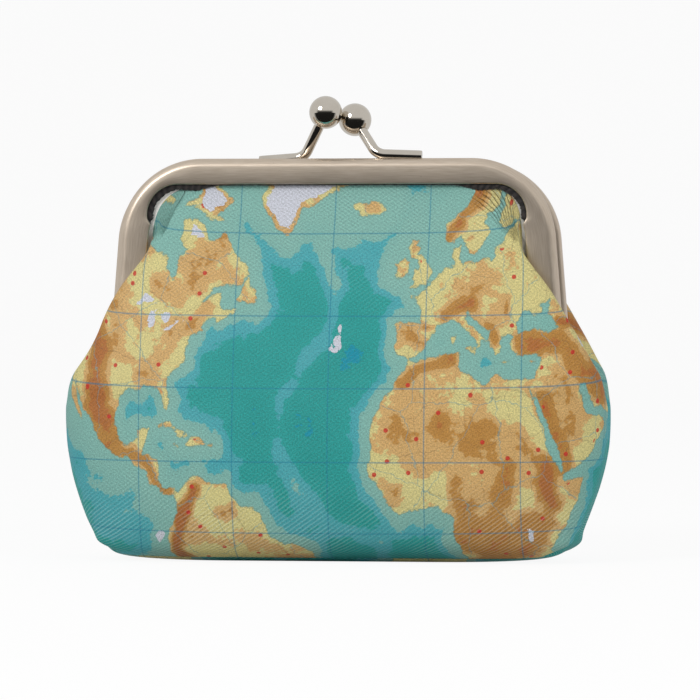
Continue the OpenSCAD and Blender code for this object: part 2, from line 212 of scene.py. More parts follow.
class Nodes:
    """The nodes of a material or a world, under construction."""

    def __init__(self, owner):
        owner.use_nodes = True
        self.owner, self.tree = owner, owner.node_tree

    def give(self, socket, value):
        """Links an input to an output, or sets it to a plain value."""
        if isinstance(value, bpy.types.NodeSocket):
            self.tree.links.new(value, socket)
        else:
            socket.default_value = value

    def node(self, kind, inputs=None, **settings):
        """Makes one node, with its settings and inputs."""
        node = self.tree.nodes.new("ShaderNode" + kind)
        for key, value in settings.items():
            setattr(node, key, value)
        for key, value in (inputs or {}).items():
            self.give(node.inputs[key], value)
        return node

    def add(self, kind, inputs=None, output=0, **settings):
        """Makes one node and returns one of its outputs."""
        return self.node(kind, inputs, **settings).outputs[output]

    def axes(self, vector):
        """The three parts of a vector."""
        return self.node("SeparateXYZ", {0: vector}).outputs

    def math(self, operation, a, b=0.0, c=0.0):
        return self.add("Math", {0: a, 1: b, 2: c}, operation=operation)

    def vector(self, operation, a, b=(0, 0, 0)):
        return self.add("VectorMath", {0: a, 1: b}, operation=operation)

    def times(self, a, b):
        return self.math("MULTIPLY", a, b)

    def scaled(self, a, b, c):
        """a times b, plus c."""
        return self.math("MULTIPLY_ADD", a, b, c)

    def mix(self, share, a, b, blend="MIX"):
        """Colour a where the share is 0, and b where it is 1."""
        return self.add("Mix", {0: share, 6: a, 7: b}, 2, data_type="RGBA", blend_type=blend)

    def step(self, value, low, high, a=0.0, b=1.0):
        """Eased step from a, at low, to b, at high."""
        return self.add("MapRange", {0: value, 1: low, 2: high, 3: a, 4: b},
                        interpolation_type="SMOOTHSTEP")

    def noise(self, place, scale, detail=3.0, output=0, rough=0.55):
        return self.add("TexNoise", {"Vector": place, "Scale": scale, "Detail": detail,
                                     "Roughness": rough}, output)

    def ramp(self, value, stops):
        """Colour ramp through stops of a place and a display colour."""
        node = self.node("ValToRGB", {0: value})
        for _ in stops[2:]:
            node.color_ramp.elements.new(0.5)
        for element, (place, colour) in zip(node.color_ramp.elements, stops):
            element.position, element.color = place, tint(*colour)
        return node.outputs[0]

    def bump(self, height, depth, strength):
        return self.add("Bump", {"Height": height, "Distance": depth, "Strength": strength})


class Finish(Nodes):
    """A material round the one shader that Blender gives it."""

    def __init__(self, name):
        super().__init__(bpy.data.materials.new(name))
        self.shader = self.tree.nodes["Principled BSDF"]

    def done(self, **sockets):
        """Sets the shader's inputs, named with low lines, and returns the material."""
        for key, value in sockets.items():
            self.give(self.shader.inputs[key.replace("_", " ")], value)
        return self.owner


def tint(red, green, blue):
    """Linear colour of an 8-bit display colour."""
    c = np.array([red, green, blue]) / 255
    linear = np.where(c <= 0.04045, c / 12.92, ((c + 0.055) / 1.055) ** 2.4)
    return (*map(float, linear), 1.0)


def canvas_finish(name):
    """Coated canvas with a printed physical map: the tints follow values stored on the
    panel, the graticule follows its degrees, and a crossed diagonal emboss, as bumps and
    as painted shade and highlight, follows its cloth coordinates, in decimetres."""
    f = Finish(name)
    cloth = f.add("UVMap", uv_map="cloth")
    u, v, _ = f.axes(cloth)

    def stored(key):
        return f.add("Attribute", output=2, attribute_name=key)

    def cells(place, scale, feature):
        return f.node("TexVoronoi", {"Vector": place, "Scale": scale},
                      voronoi_dimensions="2D", feature=feature).outputs

    fine = f.math("SUBTRACT", f.noise(cloth, 90.0, 5.0, rough=0.6), 0.5)
    coarse = f.math("SUBTRACT", f.noise(cloth, 20.0, 4.0), 0.5)
    land = f.scaled(fine, 2.0, stored("land"))
    height, depth = (
        f.scaled(coarse, much, f.scaled(fine, little, stored(key)))
        for key, much, little in (("height", 0.95, 0.40), ("depth", 0.55, 0.30)))
    sea = f.ramp(depth, [(0.0, (125, 174, 164)), (0.29, (120, 171, 162)),
                         (0.30, (74, 161, 168)), (0.54, (68, 157, 165)),
                         (0.55, (40, 151, 146)), (0.965, (34, 145, 140)),
                         (0.975, (18, 138, 160))])
    ground = f.ramp(height, [(0.0, (208, 198, 134)), (0.29, (204, 192, 130)),
                             (0.30, (202, 164, 106)), (0.53, (197, 158, 100)),
                             (0.54, (180, 132, 66)), (0.84, (172, 123, 58)),
                             (0.85, (172, 110, 54)), (1.0, (166, 102, 50))])
    on_land = f.step(land, -0.06, 0.06)
    colour = f.mix(on_land, sea, ground)
    coast = f.step(f.math("ABSOLUTE", land), 0.10, 0.30, 1.0, 0.0)
    colour = f.mix(f.times(coast, 0.35), colour, tint(112, 124, 96))
    # thin lines on land: borders and rivers, along the edges of two loose nets
    swirl = f.vector("MULTIPLY", f.noise(cloth, 34.0, 4.0, output=1), (0.030, 0.030, 0.0))
    bent = f.vector("ADD", cloth, swirl)
    borders = ((0, 0, 0), 11.0, 0.011, 0.34, (104, 84, 60))
    rivers = ((0.31, 0.17, 0), 8.0, 0.009, 0.55, (98, 146, 148))
    for shift, scale, wide, share, ink in (borders, rivers):
        edge = cells(f.vector("ADD", bent, shift), scale, "DISTANCE_TO_EDGE")["Distance"]
        line = f.times(f.step(edge, wide * 0.4, wide, 1.0, 0.0), f.step(land, 0.1, 0.5))
        colour = f.mix(f.times(line, share), colour, tint(*ink))
    # town marks: small red discs on some cells of a loose net, on land only
    towns = cells(cloth, 17.0, "F1")
    pick = f.math("GREATER_THAN", f.add("SeparateColor", {0: towns["Color"]}), 0.42)
    disc = f.step(towns["Distance"], 0.062, 0.085, 0.92, 0.0)
    mark = f.times(disc, f.times(pick, f.step(land, 0.3, 0.8)))
    colour = f.mix(mark, colour, tint(190, 48, 38))
    ice = f.step(f.scaled(fine, 2.0, stored("ice")), -0.06, 0.06)
    colour = f.mix(ice, colour, tint(196, 198, 208))
    # graticule every 30 and 15 degrees, from the distance to the nearest multiple
    for key, half_gap, wide in (("lon", 15.0, 0.26), ("lat", 7.5, 0.18)):
        away = f.math("PINGPONG", f.math("ADD", stored(key), 360.0), half_gap)
        line = f.step(away, wide * 0.3, wide * 1.2, 0.60, 0.0)
        colour = f.mix(line, colour, tint(24, 120, 146))
    # emboss: two sets of rounded ridges at 37 degrees, painted into the colour as shade and
    # highlight. The set that falls to the right is plainest at the top, as fine painted shade, and
    # the other low down, as pale painted highlight lines
    ridges = []
    for lean, wide in ((0.60, 158.0), (-0.60, 136.0)):
        along = f.scaled(u, lean * wide, f.times(v, 0.80 * wide))
        along = f.math("ADD", along, f.times(fine, 0.35))
        wave = f.times(f.math("SINE", f.times(along, 2 * np.pi)), 0.5)
        ridges.append(f.math("POWER", f.math("ADD", wave, 0.5), 1.8))
    patchy = f.step(f.noise(cloth, 9.0, 3.0), 0.35, 0.65, 0.35, 1.0)
    upper, low = f.step(v, -0.34, -0.14), f.step(v, -0.56, -0.74)
    falling = f.times(f.scaled(upper, 0.50, 0.22), patchy)
    rising = f.times(f.math("MAXIMUM", low, f.scaled(upper, 0.22, 0.12)), patchy)
    falling_tone = f.times(f.math("SUBTRACT", ridges[0], 0.4), falling)
    rising_tone = f.times(f.scaled(ridges[1], 0.7, -0.24), rising)
    tone = f.math("ADD", falling_tone, rising_tone)
    grain = f.noise(cloth, 360.0, 2.0, rough=0.7)
    speckle = f.add("MapRange", {0: grain, 1: 0.25, 2: 0.75, 3: 0.58, 4: 1.42})
    # random speckle, times the ridges' painted shade
    speckle_and_ridge_shade = f.times(speckle, f.scaled(tone, 0.30, 1.0))
    colour = f.mix(1.0, colour, speckle_and_ridge_shade, "MULTIPLY")
    # painted highlight: pale lines along the rising ridges, low down
    rub_spots_and_ridge_highlight = f.times(f.math("POWER", ridges[1], 1.8), rising)
    colour = f.mix(f.times(rub_spots_and_ridge_highlight, 0.22), colour, tint(214, 230, 222))
    # folds at the channel's corners: painted shade, a dark line in each crease wherever the stored
    # phase is whole
    crease = f.math("PINGPONG", f.math("ADD", stored("fold"), 40.0), 0.5)
    valley = f.times(f.step(crease, 0.02, 0.15, 1.0, 0.0), stored("folded"))
    colour = f.mix(f.times(valley, 0.50), colour, tint(58, 46, 28))
    # painted shade on the set-back cloth outside each corner's fold
    colour = f.mix(stored("shade"), colour, tint(90, 80, 58), "MULTIPLY")
    # near-white band along the cloth's edge where it runs over the lip
    colour = f.mix(f.step(stored("pale_edge_band"), 0.15, 0.4), colour, tint(238, 236, 230))
    relief = f.scaled(valley, -3.5, f.scaled(tone, 0.9, f.times(grain, 0.5)))
    return f.done(Base_Color=colour, Roughness=f.step(grain, 0.2, 0.8, 0.48, 0.66),
                  Normal=f.bump(relief, 0.0001, 0.8), Specular_IOR_Level=0.30)


def frame_finish():
    """Satin nickel plate: a warm grey metal, brushed along the band, a little cloudy."""
    f = Finish("satin_nickel")
    cloth = f.add("UVMap", uv_map="cloth")
    long_way = f.add("Mapping", {"Vector": cloth, "Scale": (1.0, 26.0, 1.0)})
    brushed = f.noise(long_way, 26.0, 5.0)
    cloud = f.noise(cloth, 9.0, 2.0)
    place = f.add("TexCoord", output=3)
    pits = f.step(f.noise(place, 2600.0, 2.0), 0.72, 0.80)
    colour = f.mix(f.step(brushed, 0.3, 0.7), tint(205, 189, 170), tint(221, 207, 190))
    colour = f.mix(f.times(pits, 0.35), colour, tint(130, 116, 100))
    rough = f.scaled(f.math("ADD", brushed, cloud), 0.12, 0.28)
    height = f.scaled(brushed, 0.7, f.times(pits, -1.0))
    return f.done(Base_Color=colour, Roughness=rough, Metallic=0.9,
                  Normal=f.bump(height, 0.00001, 0.35))


def clasp_finish():
    """Polished nickel with a faint haze and a few fine rubbed spots."""
    f = Finish("polished_nickel")
    place = f.add("TexCoord", output=3)
    haze = f.noise(place, 420.0, 4.0)
    rub_spots_and_ridge_highlight = f.step(f.noise(place, 1500.0, 2.0), 0.60, 0.72)
    colour = f.mix(haze, tint(206, 198, 186), tint(222, 215, 204))
    rough = f.scaled(rub_spots_and_ridge_highlight, 0.08, f.scaled(haze, 0.05, 0.05))
    return f.done(Base_Color=colour, Roughness=rough, Metallic=1.0,
                  Normal=f.bump(haze, 0.000012, 0.3))


def cord_finish():
    """Black paper cord: twisted strands seen as slanted ridges, with loose pale fibres."""
    f = Finish("black_cord")
    cloth = f.add("UVMap", uv_map="cloth")
    strand = f.add("TexWave", {"Vector": cloth, "Scale": 34.0, "Distortion": 2.6, "Detail": 3.0,
                               "Detail Scale": 2.0}, 1, bands_direction="DIAGONAL")
    fibre = f.noise(cloth, 260.0, 4.0)
    colour = f.mix(f.times(strand, fibre), tint(22, 19, 20), tint(66, 58, 56))
    height = f.scaled(strand, 0.7, f.times(fibre, 0.5))
    return f.done(Base_Color=colour, Roughness=f.step(fibre, 0.3, 0.7, 0.62, 0.86),
                  Normal=f.bump(height, 0.00012, 0.8), Sheen_Weight=0.25)


def lining_finish():
    """Black plain-woven lining: two crossed sets of threads, a little uneven."""
    f = Finish("black_lining")
    cloth = f.add("UVMap", uv_map="cloth")
    threads = [f.math("ABSOLUTE", f.math("SINE", f.times(part, 690.0)))
               for part in f.axes(cloth)[:2]]
    weave = f.math("MAXIMUM", *threads)
    slub = f.noise(cloth, 120.0, 4.0)
    colour = f.mix(f.times(weave, slub), tint(20, 18, 19), tint(60, 56, 57))
    return f.done(Base_Color=colour, Roughness=f.step(slub, 0.3, 0.7, 0.70, 0.88),
                  Normal=f.bump(weave, 0.00008, 0.7), Sheen_Weight=0.35)


# Pouch: each panel is a loft through rows, as in the purse's source

# share along the rim, heights above the hinge, belly, cheek past the rim, shoulder, reach
RIM_ROWS = np.array([
    [0.00, 1.00, 0.00, -0.09, 0.00, 0.18],
    [0.18, 0.86, 0.13, -0.06, 0.05, 0.22],
    [0.34, 0.72, 0.30, -0.03, 0.14, 0.55],
    [0.44, 0.62, 0.40, 0.05, 0.20, 1.00],
    [0.60, 0.46, 0.56, 0.33, 0.29, 1.00],
    [0.80, 0.23, 0.75, 0.63, 0.34, 1.05],
    [0.97, 0.02, 0.88, 0.90, 0.26, 1.15]])
# middle's height, belly, half width, shoulder, end across, forward and up, level share
SIDE_ROWS = np.array([
    [0.93, 0.94, 0.996, 0.28, 0.80, -0.27, 0.910, 0],
    [0.83, 0.967, 1.00, 0.24, 0.90, 0.04, 0.855, 0],
    [0.72, 0.989, 1.00, 0.19, 0.965, 0.03, 0.760, 0],
    [0.60, 1.00, 0.993, 0.17, 0.985, 0.02, 0.620, 0]])
FRONT_FOOT = np.array([
    [0.39, 0.978, 0.965, 0.20, 0.960, 0.13, 0.450, 0],
    [0.18, 0.86, 0.912, 0.31, 0.904, 0.36, 0.247, 0],
    [0.08, 0.70, 0.856, 0.44, 0.844, 0.64, 0.132, 0.2],
    [0.9 / HINGE_Z, 0.485, 0.772, 0.4725, 0.762, 0.945, 0.060, 0.25]])
BACK_FOOT = np.array([
    [0.37, 0.965, 0.966, 0.15, 0.960, 0.10, 0.470, 0],
    [0.14, 0.82, 0.925, 0.10, 0.920, 0.24, 0.330, 0.15],
    [0.00, 0.58, 0.891, 0.00, 0.886, 0.42, 0.222, 0.2],
    [0.00, 0.20, 0.856, -0.14, 0.851, 0.62, 0.141, 0.18],
    [0.00, -0.30, 0.826, -0.30, 0.816, 0.80, 0.097, 0.18],
    [0.82 / HINGE_Z, -8.3 / BELLY, 0.772, -0.4725, 0.762, 0.945, 0.060, 0.25]])
# rows from the lip to the hinge and on to the seam, points from the middle to the edge,
# points over the lip, rows in the channel
PANEL_GRID = (78, 112, 9, 8)
LINING_GRID = (44, 60, 6, 5)
# from the middle plane to the cloth at the side seams, and how far it is tucked in there
SEAM_GAP = 0.03
SEAM_STEP = LAYER_GAP * 3
# share of a row at which its shoulder lies
SHOULDER_PLACE = 0.84


def arm_length(lower):
    """Length of the arm, from the corner's end down to the channel's end."""
    return (CORNER_Z - lower + CORNER_RADIUS * np.sin(LEAN) - ARM_END_Z) / np.cos(LEAN)


def rim(half, share, depth):
    """Points of a half's lip edge, X and Z: the corner's arc, then the straight arm, with
    the given depth past the lip. share runs from the corner's start to the arm's end."""
    sweep = LIP_RADIUS * (np.pi / 2 - LEAN)
    along = share * (sweep + arm_length(half[1]) + RIM_LIFT / np.cos(LEAN))
    angle = np.pi / 2 - np.minimum(along, sweep) / LIP_RADIUS
    down = np.maximum(along - sweep, 0)
    r = LIP_RADIUS + depth
    return (CORNER_X + half[0] + r * np.cos(angle) + down * np.sin(LEAN),
            CORNER_Z + RIM_LIFT - half[1] + r * np.sin(angle) - down * np.cos(LEAN))


def rim_points(half, share, reach):
    """The three points, as [X, Y, Z] columns, that carry a row's end over the lip and into
    the channel: in front of the lip, behind it, and deep in the channel."""
    ex, ez = rim(half, share, -WRAP)
    lx, lz = rim(half, share + (1 - share) * 0.04, -WRAP)
    cx, cz = rim(half, share + (1 - share) * 0.08, CLOTH_IN)
    return joined(ex, (CLOTH_Y - WRAP_Y) * reach - CLOTH_Y, ez, lx, -CLOTH_Y, lz, cx, -CLOTH_Y, cz)


def all_rows(half, side, foot):
    """Every row of a panel as 14 numbers: middle Y and Z, shoulder X and Y, level share,
    then its end, lip and edge points."""
    s = RIM_ROWS
    points = rim_points(half, s[:, 0], s[:, 5])
    depth = WRAP_Y * s[:, 5] + CLOTH_Y * (1 - s[:, 5])
    upper = np.column_stack([
        -depth - (BELLY - depth) * s[:, 2],
        HINGE_Z + (LIP_Z + RIM_LIFT - half[1] - WRAP - HINGE_Z) * s[:, 1],
        points[:, 0] + (BAG_WIDTH / 2 - points[:, 0]) * s[:, 3],
        -depth - (BELLY - depth) * s[:, 4], np.zeros(len(s)), points])
    s = np.concatenate([SIDE_ROWS, foot])
    way = np.where(np.arange(len(s)) == 0, 1, side)
    ex, ez = s[:, 4] * BAG_WIDTH / 2, s[:, 6] * HINGE_Z
    ey = way * s[:, 5] * SEAM_FORWARD - SEAM_STEP * 2 - SEAM_GAP
    lower = np.column_stack([
        -s[:, 1] * BELLY, s[:, 0] * HINGE_Z, s[:, 2] * BAG_WIDTH / 2,
        np.minimum(-s[:, 3] * BELLY, ey), s[:, 7],
        ex, ey, ez, ex, ey + SEAM_STEP, ez, ex, ey + SEAM_STEP * 2, ez])
    return np.concatenate([upper, lower])


def between(rows, place):
    """Smooth curve through rows (cubic, passing each row), at places that count rows."""
    last = len(rows) - 1
    i = np.clip(np.floor(place).astype(int), 0, last - 1)
    t = (place - i)[:, None]
    a, b, c, d = (rows[np.clip(i + k, 0, last)] for k in (-1, 0, 1, 2))
    return (b * 2 + (c - a) * t + (a * 2 - b * 5 + c * 4 - d) * t ** 2
            + (b * 3 - a - c * 3 + d) * t ** 3) / 2


def bezier(a, b, c, d, t):
    """Cubic curve with end points a and d and handles b and c."""
    return a * (1 - t) ** 3 + b * 3 * t * (1 - t) ** 2 + c * 3 * t ** 2 * (1 - t) + d * t ** 3


def across(rows, s):
    """Points of each row at shares s from its middle to its end: one curve from the middle
    to the shoulder and another that tucks in from there to the end."""
    my, mz, w, sy, level, ex, ey, ez = (rows[:, k, None] for k in range(8))
    t = np.minimum(s / SHOULDER_PLACE, 1)[None]
    u = (np.maximum(s - SHOULDER_PLACE, 0) / (1 - SHOULDER_PLACE))[None]
    tuck = np.clip((w - ex) / BAND_WIDTH, 0, 1)
    x = np.where(s <= SHOULDER_PLACE, bezier(0 * w, w * 0.72, w, w, t),
                 bezier(w, w, (w + ex) / 2, ex, u))
    y = np.where(s <= SHOULDER_PLACE, bezier(my, my, sy + (my - sy) * 0.75, sy, t),
                 bezier(sy, sy + (ey - sy) * 0.6, ey - (1 - tuck) * (ey - sy) * 0.4, ey, u))
    lift = (np.maximum(s - level, 0) / (1 - level)) ** 2
    return joined(x, y, np.maximum(mz + (ez - mz) * lift, 0))


def half_grid(half, rows, place, s, tail):
    """Right half of a panel: rows at the given places, points at shares s, and tail more
    points that follow a curve over the lip and run into the channel or the seam."""
    r = between(rows, place)
    turn = len(RIM_ROWS) - 1
    on_rim = place <= turn
    shares = between(RIM_ROWS, np.clip(place[on_rim], 0, turn))
    r[on_rim, 5:14] = rim_points(half, shares[:, 0], shares[:, 5])
    points = across(r, s)
    e, l, c = r[:, None, 5:8], r[:, None, 8:11], r[:, None, 11:14]
    t = (np.arange(1, tail + 1) / tail)[None, :, None]
    knee = np.minimum(t * 2, 1)
    over = e * (1 - knee) ** 2 + l * 2 * knee * (1 - knee) + (l + c) / 2 * knee ** 2
    return np.concatenate([points, np.where(t <= 0.5, over, (l + c) / 2
                                            + ((c - l) / 2) * (t * 2 - 1))], 1)


def top_rows(half, first, count, s, tail):
    """Rows above the first one: they carry the panel's upper edge up into the channel."""
    share = np.linspace(1, 0, count, endpoint=False)[:, None]
    depth = -WRAP + (CLOTH_IN + WRAP) * share
    lx, lz = rim(half, 0.01 * (1 - share), depth)
    cx, cz = rim(half, 0.05 * (1 - share), CLOTH_IN)
    x = np.concatenate([np.repeat(first[None, :len(s), 0], count, 0),
                        lx + (cx - lx) * np.arange(1, tail + 1) / tail], 1)
    z = np.concatenate([np.repeat(LIP_Z + RIM_LIFT - half[1] + depth, len(s), 1),
                        lz + (cz - lz) * np.arange(1, tail + 1) / tail], 1)
    return joined(x, -CLOTH_Y, z)


def normals(g):
    """Outward direction at each point of a grid: the cross product of its two slopes."""
    return unit(np.cross(np.gradient(g, axis=0), np.gradient(g, axis=1)))


def from_core(g):
    """Direction from the pouch's inner core, a flat bar, to each point."""
    return unit(g - joined(np.clip(g[..., 0], -0.34 * BAG_WIDTH, 0.34 * BAG_WIDTH), 0,
                           np.clip(g[..., 2], 0.42 * HINGE_Z, 0.86 * HINGE_Z)))


def grid_counts(g):
    """Each row's number, and each column's number counted from the nearer side."""
    rows, columns = np.arange(g.shape[0]), np.arange(g.shape[1])
    return rows[:, None], np.minimum(columns, columns[::-1])[None]


def panel_grid(half, side, foot, down, out, tail, top):
    """Whole panel on a grid, with each point moved twice half way to its neighbours' mean,
    and its outward directions: the grid's own, and near the seams those from the core."""
    rows = all_rows(half, side, foot)
    turn, last = len(RIM_ROWS) - 1, len(rows) - 1
    place = np.concatenate([np.linspace(0, turn, down, endpoint=False),
                            np.linspace(turn, last, down)])
    s = np.linspace(0, 1, out)
    right = half_grid(half, rows, place, s, tail)
    right = np.concatenate([top_rows(half, right[0], top, s, tail), right])
    g = np.concatenate([right[:, :0:-1] * [-1, 1, 1], right], 1)
    for _ in range(2):
        middle = (g[:, :-2] + g[:, 2:]) / 2
        g[:, 1:-1] = g[:, 1:-1] * 0.5 + middle * 0.5
        middle = (g[:-2] + g[2:]) / 2
        g[1:-1] = g[1:-1] * 0.5 + middle * 0.5
    row, column = grid_counts(g)
    seam = 1 - smooth(tail, tail + out * 0.22, column)
    seam = seam * smooth(top + down, top + down * 1.25, row)
    seam = np.maximum(seam, smooth(len(g) * 0.93, len(g) - 1, row))[..., None]
    return g, unit(normals(g) * (1 - seam) + from_core(g) * seam)


def cloth_place(g):
    """Cloth coordinates in millimetres: the length along each row from its middle, and
    the length down the middle of the panel from the lip."""
    steps = np.linalg.norm(np.diff(g, axis=1), axis=2)
    along = np.concatenate([np.zeros((len(g), 1)), np.cumsum(steps, 1)], 1)
    centre = g.shape[1] // 2
    down = np.linalg.norm(np.diff(g[:, centre], axis=0), axis=1)
    v = np.concatenate([[0], np.cumsum(down)])
    return along - along[:, centre:centre + 1], np.repeat(v[:, None], g.shape[1], 1)


def sheet_faces(m, n):
    """Faces of a sheet: an outer grid, an inner grid turned round, and the border between."""
    outer = quads(m, n)
    inner = outer[:, ::-1] + m * n
    ring = np.concatenate([np.arange(n), np.arange(1, m) * n + n - 1,
                           np.arange(n - 2, -1, -1) + (m - 1) * n, np.arange(m - 2, 0, -1) * n])
    after = np.roll(ring, -1)
    return [outer, inner, joined(ring, ring + m * n, after + m * n, after)]


# The printed map: generalised coasts in degrees east and north

def outlines(text):
    """Lines of points, each from one line of number pairs, which + joins to the next."""
    return [np.array(line.replace(",", " ").split(), float).reshape(-1, 2)
            for line in text.replace("+\n", "").strip().split("\n")]


AMERICAS = outlines("""
-135,70 -115,68.5 -108,68 -98,68 -94,72 -90,69 -85,69.5 -82,67 -87,64.5 -93,61.5 -94.5,58.8 +
-92.5,57 -87,56 -82.3,55 -82,53 -80,51.3 -78.8,52.5 -79,54.5 -76.5,56.5 -78.5,58.8 -77.5,60.5 +
-78,62.4 -74,62.3 -71,61 -69.5,59 -68,58.2 -66,58.8 -64.6,60.3 -62.5,58 -60.5,55.6 -57.5,54.5 +
-55.7,52.6 -57.5,51.3 -60.5,50.2 -66.5,50.2 -69.5,48 -71,46.9 -68,48.5 -64.5,49 -64.5,48 +
-65.5,47.5 -64.5,46.2 -61.5,45.7 -60,46.9 -60,45.9 -63.5,44.6 -66,43.5 -66,44.8 -67.2,44.8 +
-70,43.7 -70.8,42.5 -70,41.7 -72.5,41.2 -74,40.5 -75.4,38 -76,36.9 -75.6,35.2 -77.8,34 -79.5,33 +
-81.2,31.5 -81.3,29.5 -80.1,27 -80.4,25.3 -81.7,25.9 -82.8,28 -84,30 -86,30.4 -89,30.3 -89.4,29.1 +
-91.5,29.4 -94,29.6 -97,28 -97.5,25 -97.8,22.3 -96.3,19.3 -94.5,18.2 -92,18.6 -90.6,19.6 -90.4,21 +
-87,21.5 -87.5,19.5 -88.2,18 -88.8,16 -86,15.9 -83.3,15 -83.6,12.5 -83.5,11 -82,9 -80,9.1 +
-78.8,9.5 -77.2,8.3 -76,9.4 -75.4,10.7 -74,11.3 -71.8,12.3 -71.3,11.2 -70,12 -68,10.6 -64.5,10.3 +
-62,10.7 -60.8,8.6 -57.5,6 -54,5.8 -51.5,4.3 -50,1.5 -49,-0.5 -44.5,-2.7 -40,-3 -35.5,-5.5 -35,-9 +
-38.8,-13 -39,-17 -41,-22 -48,-26 -54,-34 -62,-39 -68,-50 -75,-50 -73.5,-38 -70.3,-18 -76.3,-14 +
-81,-6 -80.3,-3.4 -80.9,-1 -80,0.8 -78.8,1.8 -77.3,4 -77.6,6.8 -78.6,8.2 -80.2,7.4 -81.7,7.6 +
-83,8.3 -84,9.8 -85.8,10.2 -87.6,12.8 -91.5,14 -94,16.1 -96.5,15.7 -100,17 -104,19 -105.5,20.5 +
-106.5,23 -109.4,26 -112.5,29.5 -114.8,31.7 -113,29 -110,24.3 -109.8,23 -112,25 -115,28.3 -118,34 +
-124,40 -124,47 -135,57""")
# Greenland and the islands west, south and east of it
NORTHERN_ISLANDS = outlines("""
-73,78 -66,76 -58,75.5 -55,71.5 -51,69.5 -53.5,67 -52,64.5 -48.5,61 -44,59.9 -42.5,62 -40.5,65 +
-36,66 -31,68.2 -24,70 -22,72.5 -19,76 -18,82 -60,82
-65,62 -70,62.8 -73,64.5 -78,64.6 -74,66 -72.8,67.5 -76,69.5 -80,70 -86,70.5 -88,73 -80,73.6 +
-75,72 -68,70.2 -64,67.5 -62,66.5 -64.5,65 -67.5,63.6
-85,65.8 -82,64 -84,63 -87,63.6
-59.3,47.7 -57.5,51 -55.7,51.6 -56,50 -53.5,49.3 -52.8,47.3 -54,46.8 -55.5,47 -56,47.6
-24.5,65.5 -22.3,66.4 -20.3,65.7 -16,66.5 -13.7,65 -16,63.9 -19,63.4 -22.6,63.9 +
-22,64.5 -24,64.9""")
CARIBBEAN_ISLANDS = outlines("""
-84.9,21.9 -82.5,23.1 -80,23 -76.5,21.2 -74.2,20.2 -77.5,19.9 -77.2,20.6 -78.5,21.5 -82,22.4
-74.4,18.4 -73.3,19.9 -70,19.7 -68.4,18.6 -71.5,17.8
-78.3,18.4 -76.3,18.1 -77.2,17.8
-67.2,18.4 -65.6,18.4 -65.9,18 -67.1,18""")
NORTH_SEA_ISLANDS = outlines("""
-5.5,50.1 -3.5,50.3 0.8,50.9 1.6,52.7 0.2,53.2 -0.2,54.3 -1.7,55.6 -3,56 -2,57.5 -4,57.7 +
-3.2,58.6 -5,58.6 -6,57 -5,55.5 -3.2,54.9 -3,53.5 -4.6,53.2 -4.2,52.5 -5.2,51.8 -3,51.4
-6.1,52.2 -6,54 -5.6,54.6 -7.3,55.3 -8.5,54.5 -10,54.1 -9.3,53.2 -10.3,52 -9.5,51.5 -7,52""")
